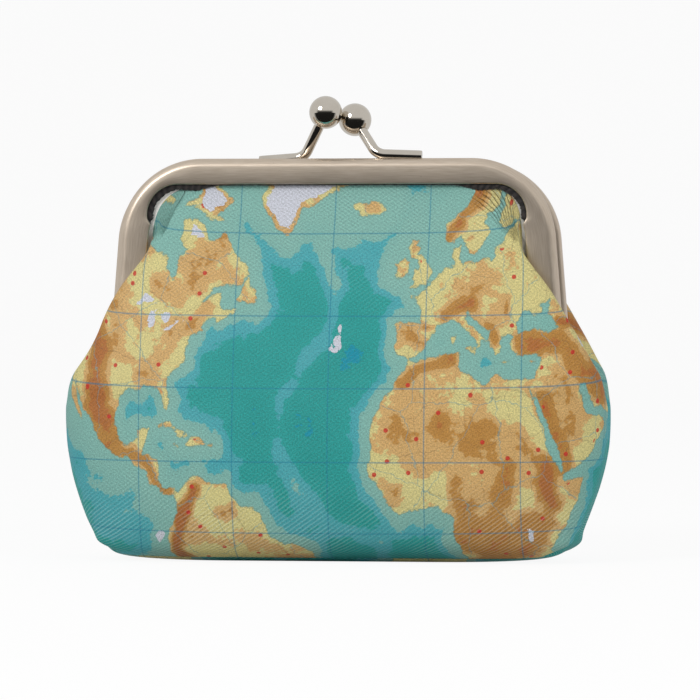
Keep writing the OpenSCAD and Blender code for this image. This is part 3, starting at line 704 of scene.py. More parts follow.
# Europe, western Asia and Africa as one outline, then the Mediterranean islands
OLD_WORLD = outlines("""
80,72 68,69 54,68.5 45,68 44,66.3 40,66 40.5,64.5 37,64 34.8,65.8 33,66.6 41,66.6 40,67.8 33,69.3 +
28,71 22,70.5 16,68.8 13,66 10,63.8 5,61.8 5.2,59 7,58 10.5,59.2 11.2,58.5 12.8,56 14.2,55.5 +
16.3,56.5 18.8,59.8 17.2,61 17.8,62.8 21.5,64.5 22.2,65.8 25.3,65 21.5,63 21.3,61 23,60 28,60.5 +
29.8,59.9 24.5,59.4 23.5,58.5 24.3,57.3 22.5,57.6 21,56.6 21.1,55.3 19.8,54.5 18.5,54.8 14.3,54 +
12.4,54.4 10.8,54 10,55 10.6,57.6 8.3,57 8.2,55.5 8.8,54 5.5,53.3 4,52 2.5,51.1 1.5,50.2 +
-1.3,49.6 -1.3,48.7 -4.7,48.4 -2.3,47.2 -1.2,46 -1.5,43.4 -8,43.7 -9.2,43 -8.8,41 -9.4,38.8 +
-8.9,37 -6.4,36.8 -5.6,36 -2.2,36.8 -0.6,37.8 0.1,38.8 -0.3,39.6 3.1,41.8 3.1,43 5,43.3 7.5,43.8 +
8.9,44.4 10.3,43.5 12.2,41.8 14.3,40.7 15.8,40 16,38.1 16.6,38.6 17.1,39.2 16.7,40.4 18.4,40 +
16,41.8 14,42.7 12.4,44.3 13.5,45.6 15,44.5 19.4,41.9 19.5,40 21.2,38.3 22.5,36.6 24,37.8 23,39.3 +
24,40.5 26.2,40.8 29,41.1 28,43.2 30.6,46 33.4,46 33.2,44.8 36.5,45.3 35.2,46.3 39,47.2 37.8,45.3 +
41.5,42 38.5,41 33.5,42 29.2,41 26.3,39.4 27.3,37 30.5,36.4 36,36.7 35.8,35 34.5,31.6 32.5,31.2 +
30,31.5 25,31.7 21.8,32.9 20,31 19,30.3 15.5,31.7 15,32.4 11.2,33.2 10.2,34.3 11,37 9.8,37.3 +
3,36.9 -2,35.1 -5.3,35.8 -6.5,34.3 -9.8,31.5 -10,29.7 -13,27.8 -16,24 -17,21 -16.3,19 -16.5,16 +
-17.4,14.7 -16.7,12.5 -15,10.8 -13,8.8 -11.5,6.8 -7.7,4.4 -4,5.2 -2,4.8 1.2,6 4.5,6.3 6,4.3 +
8.5,4.6 9.5,3.8 9.6,1 8.9,-0.8 11,-3.8 13,-9 12,-17 15,-27 18,-34 26,-34 32,-28 35,-22 40.5,-15 +
40.6,-10.5 39,-6.5 39.7,-4 42,-1 46,2.5 49,6.5 51.2,11.8 48,11.2 44,10.5 43.2,11.8 41,14.5 +
38.5,18 37.2,21 35.5,24 33.5,27.8 32.6,29.9 34.3,27.8 35,29.5 34.9,28 37,25 39,21.5 42.5,17 +
43.3,12.8 45,12.8 52,15.6 55,17.5 59.8,22.5 56.5,24.5 54,24.1 51.5,24.5 50.2,26.5 48,29.8 50.5,30 +
54,26.6 57,27 61.5,25.2 66,25.4 72,21 80,14
8.2,40.8 9.6,41 9.5,39.2 8.4,39
12.5,38 15.5,38.2 15,36.8
23.6,35.5 26.2,35.2 24.5,35
32.4,35 34.4,35.5 33,34.7""")
COASTS = AMERICAS + NORTHERN_ISLANDS + CARIBBEAN_ISLANDS + NORTH_SEA_ISLANDS + OLD_WORLD
# lakes, an inland sea, and the print's pale patches at sea
LAKES = outlines("""
-92,46.8 -88.5,48.6 -84.8,46.8 -88,46.9
-87.8,42 -86.3,42 -85.3,45.7 -87.6,45
-84,46 -80.6,45.5 -82,43.2 -83.6,44
-83,41.6 -79,42.6 -79.4,43 -82.6,42.4
-79.6,43.3 -76.3,43.5 -76.4,44.2 -79,43.9
-99,53.6 -97,50.6 -96.4,50.6 -98,53
31.8,0.4 34,0.2 33.6,-2.5 31.8,-2
-28,41 -25.5,45 -26.5,38 -29,38.5
-31,38 -27,40 -28,37.5
49,46.5 53,46.8 53,45 50.5,44.5 53.5,41 53.8,37 50,37.5 49,39 49.5,40.5 47.5,43
-85,-1 -83,0.5 -81.5,-1 -83.5,-3""")
# high ground: width in degrees, height, and the line that it follows
RANGES = [
    (6, 0.95, "-125,55 -115,49 -108,40 -105,32 -104,25 -99,19"),
    (2, 0.7, "-99,18 -92,16 -87,14.5 -84,10 -80,8.5"), (2.2, 0.5, "-85,34 -79,39 -74,43 -68,47"),
    (5, 0.55, "-74,52 -65,57"), (1.5, 0.4, "-63,58.5 -66,54"), (3, 0.6, "-80,72 -70,67 -66,65"),
    (2, 1.1, "-72,9 -76,4 -78,-1 -79,-6 -72,-16"), (2.6, 0.5, "-65,4.5 -60,5"),
    (7, 0.5, "-48,-14 -42,-9"), (1.8, 0.42, "-20,65 -17,64.8"), (1.2, 0.4, "-4.5,57"),
    (2.4, 0.85, "7,60 12,64 17,68 23,69.5"), (2, 0.9, "6,45 10,46.5 14,47"),
    (1, 0.6, "-1,43 2,42.5"), (3.6, 0.5, "-5,40.5 -2.5,39"), (1.6, 0.4, "3,45"),
    (1.6, 0.55, "19,49.2 25,47.5 25,45.5"), (2, 0.65, "16,44 20,42.5 22,39.5"),
    (0.9, 0.5, "10,44 13,42.5 16,40"), (3.2, 0.85, "30,38.5 36,38.8 42,39 46,37"),
    (1.4, 0.9, "41,43.2 47,42"), (4.2, 0.85, "46,35 51,31.5 58,29 66,31"),
    (2, 0.75, "-8,31 -3,33.5 3,35 8,36"), (4.2, 0.75, "5,23"), (5, 0.72, "13,19 21,21"),
    (4, 0.52, "-9,9"), (3, 0.7, "9,9.5 12,6 16,6"), (4.4, 0.75, "26,14 25,8"),
    (4, 1, "38,13 38.5,8 40,6"), (4.5, 0.85, "30,1 36,0 30,-5"), (9, 0.8, "14,0 24,-2 20,-14"),
    (3.4, 0.85, "37,27 41,20 44.5,15.5"), (8, 0.5, "45,24 43,31"), (12, 0.5, "-6,23 12,20 27,15"),
    (2, 0.4, "58,60 58,67"), (7, 0.42, "-112,60 -100,50 -98,38"), (4, 0.45, "-86,50 -77,48"),
    (3.5, 0.45, "12,49 22,51"), (5, 0.42, "45,52 52,57"), (9, 0.52, "-46,60 -42,72"),
    (5, 0.42, "-90,31 -84,36 -79,41")]
# millimetres of cloth to a degree east, and where some parallels lie down the cloth
MAP_EAST, DEGREE_EAST = -30.0, 0.605
PARALLEL_PLACES = (-10.0, 2.5, 13.3, 30.3, 44.3, 58.2, 86.0, 114.0)
PARALLELS = (80.0, 70.0, 60.0, 45.0, 30.0, 15.0, -15.0, -45.0)
# two ridges of the sea floor, where the print is paler
MID_OCEAN, WESTERN_RISE = outlines("""
-20,68 -33,57 -29,50 -30,42 -38,35 -45,27 -45,17 -38,8 -25,1 -14,-2 -13,-30
-122,24 -104,9 -93,1 -86,-12""")


def line_distance(x, y, p, closed=False):
    """Distance from each point to a line through the given points: the least distance to
    any of its stretches, each from the point's place clamped along it."""
    a, b = (p, np.roll(p, -1, 0)) if closed or len(p) == 1 else (p[:-1], p[1:])
    d = b - a
    best = np.full(x.shape, 1e9)
    for (ax, ay), (dx, dy) in zip(a, d):
        t = np.clip(((x - ax) * dx + (y - ay) * dy) / max(dx * dx + dy * dy, 1e-9), 0, 1)
        best = np.minimum(best, (x - ax - t * dx) ** 2 + (y - ay - t * dy) ** 2)
    return np.sqrt(best)


def inside(x, y, p):
    """True where a ray to the right crosses the closed line an odd number of times."""
    odd = np.zeros(x.shape, bool)
    for (ax, ay), (bx, by) in zip(p, np.roll(p, -1, 0)):
        if ay != by:
            odd ^= ((ay > y) != (by > y)) & (x < (bx - ax) * (y - ay) / (by - ay) + ax)
    return odd


def signed(x, y, shapes):
    """Distance to the nearest outline, positive inside a shape and negative outside."""
    best, any_in = np.full(x.shape, 1e9), np.zeros(x.shape, bool)
    for line in shapes:
        best = np.minimum(best, line_distance(x, y, line, True))
        any_in |= inside(x, y, line)
    return np.where(any_in, best, -best)


def map_values(u, v):
    """What the print shows at cloth coordinates: degrees east and north, distance into
    land or ice, height and depth. Degrees east are spaced evenly, degrees north by a
    given scale, and the coasts are shifted a little by noise. Each range is a hill on
    the distance to its line, and the sea deepens by 1 - exp(-distance ** 1.6)."""
    lon = MAP_EAST + u / DEGREE_EAST
    lat = np.interp(v, PARALLEL_PLACES, PARALLELS)
    x = lon + ripple(u, v, 3, 9.0) * 0.50
    y = lat + ripple(u, v, 4, 9.0) * 0.35
    land = signed(x, y, COASTS)
    ice = np.where((x > -75) & (x < -27) & (y > 59) & (land > 0), land - 1.1, -3.0)
    ice = np.maximum(ice, signed(x, y, LAKES))
    height = 0.20 + 0.17 * ripple(u, v, 5, 16.0)
    uneven, rough = 1 + 0.38 * ripple(u, v, 8, 10.0), 0.06 * ripple(u, v, 6, 8.0)
    for width, high, line in RANGES:
        away = line_distance(x, y, outlines(line)[0]) * uneven
        height = np.maximum(height, high * np.exp(-(away / width) ** 2) + rough)
    ridge = np.maximum(bump_at(line_distance(x, y, MID_OCEAN), 0, 3.2),
                       bump_at(line_distance(x, y, WESTERN_RISE), 0, 11.0))
    depth = 0.86 * (1 - np.exp(-(np.maximum(-land, 0) / 5.2) ** 1.6)) - 0.46 * ridge
    depth = depth + 0.10 * ripple(u, v, 7, 24.0)
    depth = np.where(y > 45, depth - (y - 45) * 0.020, depth)
    return {"lon": lon, "lat": lat, "land": land, "height": height, "depth": depth, "ice": ice}


def corner_forms(g, half):
    """What the loft leaves out at the channel's upper corners: how far each point moves,
    the phase and share of its creases, drawn as painted shade, and its painted shade. Around
    each corner the edge is pushed out along its radius, by a hill on its angle. The cloth
    outside a fold, found by eased steps on its angle about the fold's foot, lies further back."""
    x, y, z = g[..., 0], g[..., 1], g[..., 2]
    right = x > 0
    across, up = np.abs(x) - CORNER_X - half[0], z - CORNER_Z - RIM_LIFT + half[1]
    radius, turn = np.hypot(across, up), np.degrees(np.arctan2(up, across))
    near = bump_at(turn, 48, 27) * smooth(1.5, LIP_RADIUS - 1, radius)
    push = np.where(right, 1.25, 0.55) * near
    move = joined(push * across / np.maximum(radius, 1) * np.sign(x), 0,
                  push * up / np.maximum(radius, 1))
    foot_x, foot_z = np.where(right, 35.3, 33.5), np.where(right, 60.0, 61.2)
    fx, fz = np.abs(x) - foot_x, z - foot_z
    away = np.hypot(fx, fz)
    angle = np.degrees(np.arctan2(fz, fx)) + ripple(x, z, 15, 9.0) * 1.6
    reach = smooth(0.5, 3, away) * (1 - smooth(11, 14, away)) * (fz > 0)
    outside = np.where(right, smooth(138, 108, angle), smooth(120, 112, angle)) * reach
    move[..., 1] += np.where(right, 0.6, 0.85) * outside * np.maximum(-y - FLAT_Y, 0)
    many = smooth(104, 110, angle) * (1 - smooth(134, 142, angle))
    single = smooth(112.8, 114.6, angle) * (1 - smooth(116.8, 118.6, angle))
    folded = np.where(right, many, single) * reach
    sway = np.where(right, ripple(x, z, 16, 8.0) * 0.35, 0)
    phase = (angle - 115.8) / np.where(right, 3.8, 4.2) + sway
    # the left cheek is a little narrower, and the side seam ends in a small nub low down
    cheek = np.where(right, 0, 1.3) * bump_at(z, 41.0, 6.5) * smooth(34, 47, np.abs(x))
    nub = 0.6 * bump_at(z, 3.6, 1.3) * smooth(40, 45, np.abs(x))
    move[..., 0] += cheek + nub * np.sign(x)
    # the last value is painted shade for the set-back cloth outside each fold
    return move, phase, folded, outside * np.where(right, 0.16, 0.22)


def make_cloth(name, skins, u, v, finish, side, values=None):
    """A sheet between two skins over one grid; the back half's is mirrored in Y."""
    points = np.concatenate([skin.reshape(-1, 3) for skin in skins])
    corners = np.tile(joined(u, -v).reshape(-1, 2), (2, 1))
    values = {key: np.tile(value.ravel(), 2) for key, value in (values or {}).items()}
    return make_piece(name, points * [1, -side, 1], sheet_faces(*u.shape), finish, None,
                      corners, values)


def make_panel(name, half, side, foot, finish):
    """Printed panel: the loft's grid with small folds pressed into its outer skin."""
    g, out = panel_grid(half, side, foot, *PANEL_GRID)
    u, v = cloth_place(g)
    # the back panel is turned over, so its print runs the other way across
    u = u * -side
    values = map_values(u, v)
    x, z = g[..., 0], g[..., 2]
    move, values["fold"], values["folded"], values["shade"] = corner_forms(g, half)
    folds = 0.10 * ripple(x, z, 11, 34.0) * smooth(2, 12, z) * (1 - smooth(60, 68, z))
    # a near-white band along the cloth's edge: the part that runs over the lip, round both corners
    down, _, tail, top = PANEL_GRID
    row, column = grid_counts(g)
    values["pale_edge_band"] = ((column < tail - 1) & (row < top + down * 0.5)).astype(float)
    skins = g + out * folds[..., None] + move, g - out * PANEL + move
    return make_cloth(name, skins, u, v, finish, side, values)


def make_lining(name, half, side, foot, finish):
    """Lining: the same loft, set in by the panel's thickness and a layer of air."""
    g, out = panel_grid(half, side, foot, *LINING_GRID)
    u, v = cloth_place(g)
    g = g + corner_forms(g, half)[0]
    skins = [g - out * depth for depth in (PANEL + LAYER_GAP, PANEL + LAYER_GAP + LINING)]
    return make_cloth(name, skins, u, v, finish, side)


# Frame halves

def arc(cx, cy, r, start, end, steps):
    """Points of an arc, angles in degrees."""
    a = np.radians(np.linspace(start, end, steps))
    return joined(cx + r * np.cos(a), cy + r * np.sin(a))


def lip_widths(out):
    """Width of the face at each outward direction, set for the top and the arms. In a
    corner it is the outer radius less the distance at which a ray from the corner's centre
    meets the lip: first the top's line, then the pocket's circle."""
    angle = np.arctan2(out[:, 1], np.abs(out[:, 0]))
    ray = joined(np.cos(angle), np.sin(angle))
    rise = CORNER_RADIUS - TOP_FACE
    to = ray @ np.array(POCKET)
    circle = to + np.sqrt(np.maximum(POCKET_RADIUS ** 2 - np.dot(POCKET, POCKET) + to ** 2, 0))
    reach = np.where(angle > np.arctan2(rise, POCKET[0]), rise / np.maximum(ray[:, 1], 0.1), circle)
    low = smooth(23.5, 17.5, np.degrees(angle))
    return (CORNER_RADIUS - reach) * (1 - low) + ARM_FACE * low


def channel_sections(widths):
    """Outline of the sheet metal for each face width, as offset from the band's outer edge
    and depth: the slightly crowned face with its rolled outer edge, the flat side, the
    mating edge and the inner lip."""
    face = (-FACE_EDGE, HALF_DEPTH - FACE_EDGE)
    mating = (-MATING_EDGE, MATING_GAP + MATING_EDGE)
    lip = 0.22
    start = arc(lip, HALF_DEPTH - lip, lip, 180, 90, 6)
    end = arc(lip, HALF_DEPTH - SHEET + lip, lip, 270, 180, 6)
    # the rolled edge is flatter than a quarter round
    rolled = arc(*face, FACE_EDGE, 90, 0, 16)
    chord = rolled[0] + (rolled[-1] - rolled[0]) * np.linspace(0, 1, 16)[:, None]
    fixed = np.concatenate([
        rolled * 0.45 + chord * 0.55, arc(*mating, MATING_EDGE, 0, -90, 10),
        arc(-INNER_LIP + lip, MATING_GAP + lip, lip, -90, -180, 5),
        arc(-INNER_LIP + lip, MATING_GAP + SHEET - lip, lip, -180, -270, 5),
        arc(*mating, MATING_EDGE - SHEET, -90, 0, 4), arc(*face, FACE_EDGE - SHEET, 0, 90, 8)])
    t = np.linspace(0, 1, 9)[1:-1]
    crown = 0.07 * (1 - (2 * t - 1) ** 2)
    whole = []
    for width in widths:
        flat = joined(-width + lip + (width - lip - FACE_EDGE) * t, HALF_DEPTH + crown)
        whole.append(np.concatenate([start - [width, 0], flat, fixed, end - [width, 0]]))
    return np.array(whole)


def band_line(half, top, corner, arm, short=0.0):
    """Outer edge of a half's band from the left arm's end over the top to the right one's,
    with the outward direction at each point: straight top, arcs, and leaning arms. top,
    corner and arm count their points, and short is left off each arm's end."""
    wider, lower = half
    cx, cz = CORNER_X + wider, CORNER_Z - lower
    flat = np.linspace(0, cx, top, endpoint=False)
    turn = np.linspace(np.pi / 2, LEAN, corner, endpoint=False)
    down = np.linspace(0, arm_length(lower) - short, arm)
    edge = np.array([np.cos(LEAN), np.sin(LEAN)])
    start = np.array([cx, cz]) + CORNER_RADIUS * edge
    line = np.concatenate([
        joined(flat, FRAME_TOP - lower),
        joined(cx + CORNER_RADIUS * np.cos(turn), cz + CORNER_RADIUS * np.sin(turn)),
        start + down[:, None] * [np.sin(LEAN), -np.cos(LEAN)]])
    out = np.concatenate([np.tile([0.0, 1.0], (top, 1)), joined(np.cos(turn), np.sin(turn)),
                          np.tile(edge, (arm, 1))])
    return (np.concatenate([line[:0:-1] * [-1, 1], line]),
            np.concatenate([out[:0:-1] * [-1, 1], out]))


def carried(sections, line, out, side):
    """A section for each point of a line in the XZ plane: offset along the outward
    direction, and depth along Y, towards the half's own side."""
    spot = line[:, None] + out[:, None] * sections[..., :1]
    return joined(spot[..., 0], sections[..., 1] * side, spot[..., 1])


def line_length(line):
    """Length along a line at each of its points."""
    return np.concatenate([[0], np.cumsum(np.linalg.norm(np.diff(line, axis=0), axis=1))])


def make_frame(name, half, side, finish):
    """Pressed sheet channel: its section carried round the arch."""
    line, out = band_line(half, top=40, corner=90, arm=26)
    sections = channel_sections(lip_widths(out))
    around = line_length(sections[len(sections) // 2])
    return tube(carried(sections, line, out, side), finish, name, 38,
                joined(line_length(line)[:, None], around))


def tab_face(half):
    """X of a hinge tab's outer face: the band's outer edge at the arm's lower end, less a
    sixth of the sheet."""
    edge = CORNER_X + half[0] + CORNER_RADIUS * np.cos(LEAN)
    return edge + arm_length(half[1]) * np.sin(LEAN) - SHEET / 6


def make_tab(name, face_x, hand, hole, side, finish):
    """Hinge tab: rings between its hole and its outline, on both faces, with a small
    bevel. The outline is a circle joined to a square-cut neck that runs up to the channel.
    hand is 1 for the right tab and -1 for the left one."""
    angle = np.linspace(0, 2 * np.pi, 96, endpoint=False)
    y, z = TAB_RADIUS * np.cos(angle), TAB_RADIUS * np.sin(angle)
    near, far = -MATING_GAP - MATING_EDGE, -HALF_DEPTH + FACE_EDGE
    neck = smooth(0.0, 0.55, np.sin(angle))
    top = ARM_END_Z + SHEET - HINGE_Z
    y = y * (1 - neck) + (near + (far - near) * smooth(0.9, -0.9, np.cos(angle))) * neck
    z = z * (1 - neck) + top * neck
    bevel = 0.08
    shares = [(0, 0), (0, SHEET), (1, SHEET), (1, SHEET - bevel), (1, bevel), (1, 0)]
    rings = []
    for share, depth in shares:
        pull = 1 - (bevel / TAB_RADIUS if share and depth in (0, SHEET) else 0)
        ry = hole * np.cos(angle) * (1 - share) + y * share * pull
        rz = hole * np.sin(angle) * (1 - share) + z * share * pull
        rings.append(joined(face_x - SHEET + depth, ry * -side, rz + HINGE_Z))
    grid = np.stack(rings) * [hand, 1, 1]
    faces = [quads(len(shares), len(angle), True, True)]
    return make_piece(name, grid, faces, finish, 30, grid[..., 1:])


def make_turned(name, profile, steps, start, direction, hand, finish, sharp):
    """Solid turned from a profile of distance and radius: a circle at each point, aimed
    along a direction from the start, and mirrored in X where hand is -1."""
    a = np.linspace(0, 2 * np.pi, steps, endpoint=False)
    along, r = profile[:, 0, None], profile[:, 1, None]
    rings = joined(r * np.cos(a), r * np.sin(a), along)
    turn = np.array(Vector((0, 0, 1)).rotation_difference(Vector(direction)).to_matrix())
    return tube((rings @ turn.T + start) * [hand, 1, 1], finish, name, sharp,
                np.repeat(profile[:, None], steps, 1))


def make_rivet(name, hand, finish):
    """Hinge rivet: a domed head outside, a shank and a peened end, as one turned profile."""
    back_face = tab_face(BACK_HALF)
    inner = tab_face(FRONT_HALF) - SHEET - RIVET_PLAY
    head, peen, r = 0.7, 0.4, RIVET / 2
    t = np.linspace(0, np.pi / 2, 12)
    dome = joined(back_face + head * np.sin(t) * 0.86 + 0.14 * head, RIVET_HEAD * np.cos(t))
    dome[0, 0] = back_face + 0.1
    profile = np.concatenate([
        [[inner - peen, 0.001], [inner - peen, 1.4], [inner - peen + 0.12, 1.66],
         [inner - 0.08, RIVET_HEAD], [inner, 1.66], [inner, r], [back_face, r],
         [back_face, 1.68]],
        dome[:-1], [[back_face + head, 0.001]]])
    return make_turned(name, profile, 48, (0, 0, HINGE_Z), (1, 0, 0), hand, finish,
                       35)


# Clasp

# the front half's clasp: its ball's place in X and Y, its stem's corner in X, the radius
# of that bend, and the lying rod's end in X. The back half's is turned half round
BALL_X, BALL_CROSS, BEND_X, BEND_R, STEM_REACH = 2.62, 1.75, 7.2, 3.0, 15.9
# each side's ball over the frame's top, and how much its lying rod slopes down
BALL_RISE, LYING_SLOPE = {-1: 7.5, 1: 8.8}, {-1: 0.035, 1: 0.075}
# the whole clasp sits a little right of the middle, and each lying rod is sunk into solder
CLASP_SHIFT = 0.45
SUNK = 0.25
STEM_SEAT = STEM / 2 + 0.04 - SUNK
STEM_Y = 2.0
# how deep a stem goes into its ball
SOCKET = 2.0


def clasp_points(lower, side):
    """The ball's middle and the stem's corner, and the unit directions of its two rods."""
    corner = np.array([BEND_X, -STEM_Y, FRAME_TOP - lower + STEM_SEAT])
    ball = np.array([BALL_X, BALL_CROSS, FRAME_TOP + BALL_RISE[side]])
    flip, shift = np.array([-side, -side, 1]), [CLASP_SHIFT, 0, 0]
    lying = unit(np.array([1, 0, -LYING_SLOPE[side]]))
    return corner * flip + shift, ball * flip + shift, unit(ball - corner) * flip, lying * flip


def make_stem(name, lower, side, finish):
    """Bent rod: a circle carried along a straight, an arc that is tangent to both, and a
    straight into the ball, with rounded ends."""
    corner, ball, up, along = clasp_points(lower, side)
    bend = np.arccos(np.clip(-(up @ along), -1, 1))
    tangent = BEND_R * np.tan(bend / 2)
    reach = STEM_REACH - BEND_X
    lying = corner + along * np.linspace(reach, tangent, 12)[:, None]
    height = np.linalg.norm(ball - corner) - BALL / 2 + SOCKET
    rising = corner + up * np.linspace(tangent, height, 14)[:, None]
    centre = corner + unit(up + along) * np.hypot(BEND_R, tangent)
    spoke_a, spoke_b = lying[-1] - centre, rising[0] - centre
    t = np.linspace(0, 1, 18)[1:-1, None]
    spokes = (spoke_a * np.sin((1 - t) * bend) + spoke_b * np.sin(t * bend)) / np.sin(bend)
    path = np.concatenate([lying, centre + spokes, rising])
    ahead = unit(np.gradient(path, axis=0))
    flat = unit(np.cross(along, up))
    other = np.cross(ahead, flat)
    a = np.linspace(0, 2 * np.pi, 40, endpoint=False)
    rings = path[:, None] + STEM / 2 * (np.cos(a)[:, None] * flat
                                        + np.sin(a)[:, None] * other[:, None])
    ends = []
    for middle, way, ring in ((path[0], -ahead[0], rings[0]), (path[-1], ahead[-1], rings[-1])):
        ends.append(np.stack([middle + (ring - middle) * s + way * h
                              for s, h in ((0.86, 0.0), (0.96, -0.05))]))
    rings = np.concatenate([ends[0], rings[1:-1], ends[1][::-1]])
    # the underside is flat where it lies on the frame
    rings[..., 2] = np.maximum(rings[..., 2], FRAME_TOP - lower - SUNK)
    return tube(rings, finish, name, 40,
                joined(np.arange(len(rings))[:, None], 0 * a))


def make_ball(name, lower, side, finish):
    """Ball with a socket for its stem: a half circle turned round the stem's line, whose
    last part goes down the socket's wall to its floor."""
    _, ball, up, _ = clasp_points(lower, side)
    r, hole = BALL / 2, STEM / 2 + 0.02
    opening = np.arcsin(hole / r)
    t = np.linspace(0.004, np.pi - opening, 56)
    shell = joined(r * np.cos(t), r * np.sin(t))
    floor = -r + SOCKET + 0.02
    profile = np.concatenate([shell, [[floor, hole], [floor, 0.002]]])
    return make_turned(name, profile, 72, ball, up, 1, finish, 40)


def make_cord(name, half, side, finish):
    """Jamming cord along the inside of the lip: an oval section that shows a little below
    the lip, and much more in the corners' pockets, with a lumpy edge."""
    line, out = band_line(half, top=90, corner=120, arm=40, short=CORD)
    angle = np.degrees(np.arctan2(out[:, 1], np.abs(out[:, 0])))
    grown = smooth(22.0, 27.5, np.abs(line[:, 0])) * smooth(21, 26, angle)
    lumps = ripple(line_length(line), 0 * angle, 21, 1.6)
    shown = 0.26 + 0.95 * grown + lumps * (0.03 + 0.12 * grown) - 0.5 * smooth(22, 18, angle)
    a = np.linspace(0, 2 * np.pi, 20, endpoint=False)
    outer, inner = (SHEET - lip_widths(out))[:, None], (-lip_widths(out) - shown)[:, None]
    sections = joined((outer + inner) / 2 + (outer - inner) / 2 * np.cos(a),
                      CORD_Y + CORD / 2 * np.sin(a))
    return tube(carried(sections, line, out, side), finish, name, None,
                joined(line_length(line)[:, None], a * CORD / 2))


canvas = canvas_finish("printed_canvas")
satin, polished = frame_finish(), clasp_finish()
black_cord, black_lining = cord_finish(), lining_finish()

nodes = ("panel", "lining", "frame", "filler_cord", "clasp_stem", "clasp_ball")
for word, half, side, foot in (("front", FRONT_HALF, -1, FRONT_FOOT),
                               ("back", BACK_HALF, 1, BACK_FOOT)):
    body, lower = f"{word}_half", half[1]
    bent = [make_panel(f"{word}_canvas", half, side, foot, canvas),
            make_lining(f"{word}_lining_cloth", half, side, foot, black_lining)]
    for piece in bent:
        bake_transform(piece)
    riding = [make_frame(f"{word}_channel", half, side, satin),
              make_cord(f"{word}_cord", half, side, black_cord),
              make_stem(f"{word}_stem", lower, side, polished),
              make_ball(f"{word}_ball", lower, side, polished)]
    for piece, node in zip(bent + riding, nodes):
        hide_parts(f"{word}_{node}")
    # the rivets are tight in the back half's tabs, and the front half's turn on them
    hole = RIVET / 2 + (RIVET_PLAY if side < 0 else 0)
    for hand, name in ((1, "right"), (-1, "left")):
        riding.append(make_tab(f"{word}_tab_{name}", tab_face(half), hand, hole, side, satin))
        if side > 0:
            rivet = make_rivet(f"rivet_{name}", hand, satin)
            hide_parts(f"hinge_rivet_{name}")
            riding.append(rivet)
    for piece in riding:
        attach(piece, body)


# Camera, studio and light

scene = bpy.context.scene
scene.view_settings.view_transform = "Standard"


def aim_camera(azimuth, elevation, distance, target, width):
    """Camera round a target, all in millimetres; width is what the picture spans there."""
    a, e = np.radians(azimuth), np.radians(elevation)
    back = Vector((np.sin(a) * np.cos(e), -np.cos(a) * np.cos(e), np.sin(e)))
    camera = bpy.data.objects.new("camera", bpy.data.cameras.new("camera"))
    scene.collection.objects.link(camera)
    camera.data.sensor_width = 36
    camera.data.lens = 36 * distance / width
    camera.data.clip_start, camera.data.clip_end = 0.01, 20
    turn = (-back).to_track_quat("-Z", "Y").to_matrix().to_4x4()
    camera.matrix_world = Matrix.Translation((Vector(target) + back * distance) * MM) @ turn
    scene.camera = camera


aim_camera(azimuth=6.5, elevation=1.0, distance=850, target=(2.3, 0, 40.2), width=134.0)


def front_share(f, place, low, high):
    """1 where a direction or place lies in front of the purse and 0 elsewhere: an eased
    step on the Y of its level part, made one unit long."""
    ahead = f.vector("NORMALIZE", f.vector("MULTIPLY", place, (1, 1, 0)))
    return f.step(f.axes(ahead)[1], low, high, 1.0, 0.0)


def ray_kinds(f):
    """Two shares: 1 for camera rays, and 1 for rays that are mirrored or pass through."""
    kinds = f.node("LightPath").outputs
    return kinds["Is Camera Ray"], f.math("MAXIMUM", kinds["Is Glossy Ray"],
                                          kinds["Is Transmission Ray"])


def studio_material():
    """White paper: white to the camera and to reflections, but for the dim sector in
    front, with a share of real diffuse light, so that it keeps the purse's shadow."""
    f = Finish("white_paper")
    seen, bounced = ray_kinds(f)
    dim = f.times(front_share(f, f.add("TexCoord", output=3), -0.40, 0.0), bounced)
    strength = f.scaled(dim, -0.715, f.scaled(bounced, -0.30, 1.02))
    share = f.math("MAXIMUM", f.times(seen, 0.9), f.times(bounced, 0.985))
    glow = f.add("Emission", {"Strength": strength})
    mixed = f.add("MixShader", {0: share, 1: f.shader.outputs[0], 2: glow})
    f.give(f.tree.nodes["Material Output"].inputs["Surface"], mixed)
    return f.done(Base_Color=(0.8, 0.8, 0.8, 1), Roughness=1.0, Specular_IOR_Level=0.0)


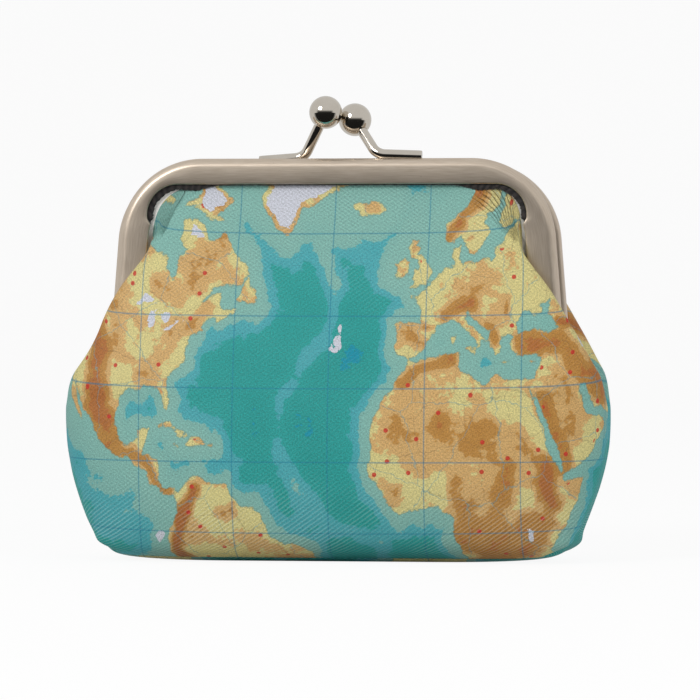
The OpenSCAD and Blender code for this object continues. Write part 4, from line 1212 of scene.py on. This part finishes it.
def make_paper():
    """Paper sweep behind and under the purse: a flat floor, a quarter round and a wall."""
    t = np.linspace(0, np.pi / 2, 16)
    front, back, bend, top, half_width = -1500, 1000, 300, 1800, 1600
    sweep = joined(back + bend * np.sin(t), bend - bend * np.cos(t))
    profile = np.concatenate([[[front, 0]], sweep, [[back + bend, top]]])
    x = np.linspace(-half_width, half_width, 3)
    grid = joined(x, profile[:, :1], profile[:, 1:])
    mesh = bpy.data.meshes.new("paper")
    mesh.from_pydata((grid.reshape(-1, 3) * MM).tolist(), [], quads(len(profile), 3).tolist())
    mesh.shade_smooth()
    mesh.materials.append(studio_material())
    paper = bpy.data.objects.new("paper", mesh)
    scene.collection.objects.link(paper)


def add_lamp(name, place, target, size, power, mirrored):
    """Soft round lamp, in metres and watts, turned to a target. Where mirrored is false,
    reflections don't show it."""
    lamp = bpy.data.lights.new(name, "AREA")
    lamp.shape, lamp.size, lamp.energy = "DISK", size, power
    holder = bpy.data.objects.new(name, lamp)
    holder.visible_glossy = mirrored
    scene.collection.objects.link(holder)
    holder.location = place
    holder.rotation_euler = (Vector(target) - Vector(place)).to_track_quat("-Z", "Y").to_euler()


def set_world():
    """Plain studio: white to the camera, an even light, and in reflections a bright room
    with a dim sector in front, below the level of the eye."""
    scene.world = bpy.data.worlds.new("studio")
    f = Nodes(scene.world)
    seen, bounced = ray_kinds(f)
    direction = f.add("TexCoord")
    _, ahead, rise = f.axes(direction)
    below = f.step(rise, 0.02, 0.30, 1.0, 0.0)
    dim = f.times(front_share(f, direction, -0.72, -0.40), below)
    room = f.scaled(dim, -0.66, 0.70)
    even = f.add("MapRange", {0: ahead, 1: -1.0, 2: -0.2, 3: 0.22, 4: 0.56})
    unseen = f.add("Mix", {0: bounced, 2: even, 3: room}, data_type="FLOAT")
    strength = f.add("Mix", {0: seen, 2: unseen, 3: 1.0}, data_type="FLOAT")
    background = f.tree.nodes["Background"].inputs
    f.give(background["Strength"], strength)
    f.give(background["Color"], (1, 1, 1, 1))


make_paper()
set_world()
purse_middle = (0, 0, 0.04)
add_lamp("key", (-0.55, -0.75, 0.55), purse_middle, size=0.42, power=4.6, mirrored=True)
add_lamp("fill", (0.65, -0.70, 0.30), purse_middle, size=0.5, power=2.6, mirrored=False)
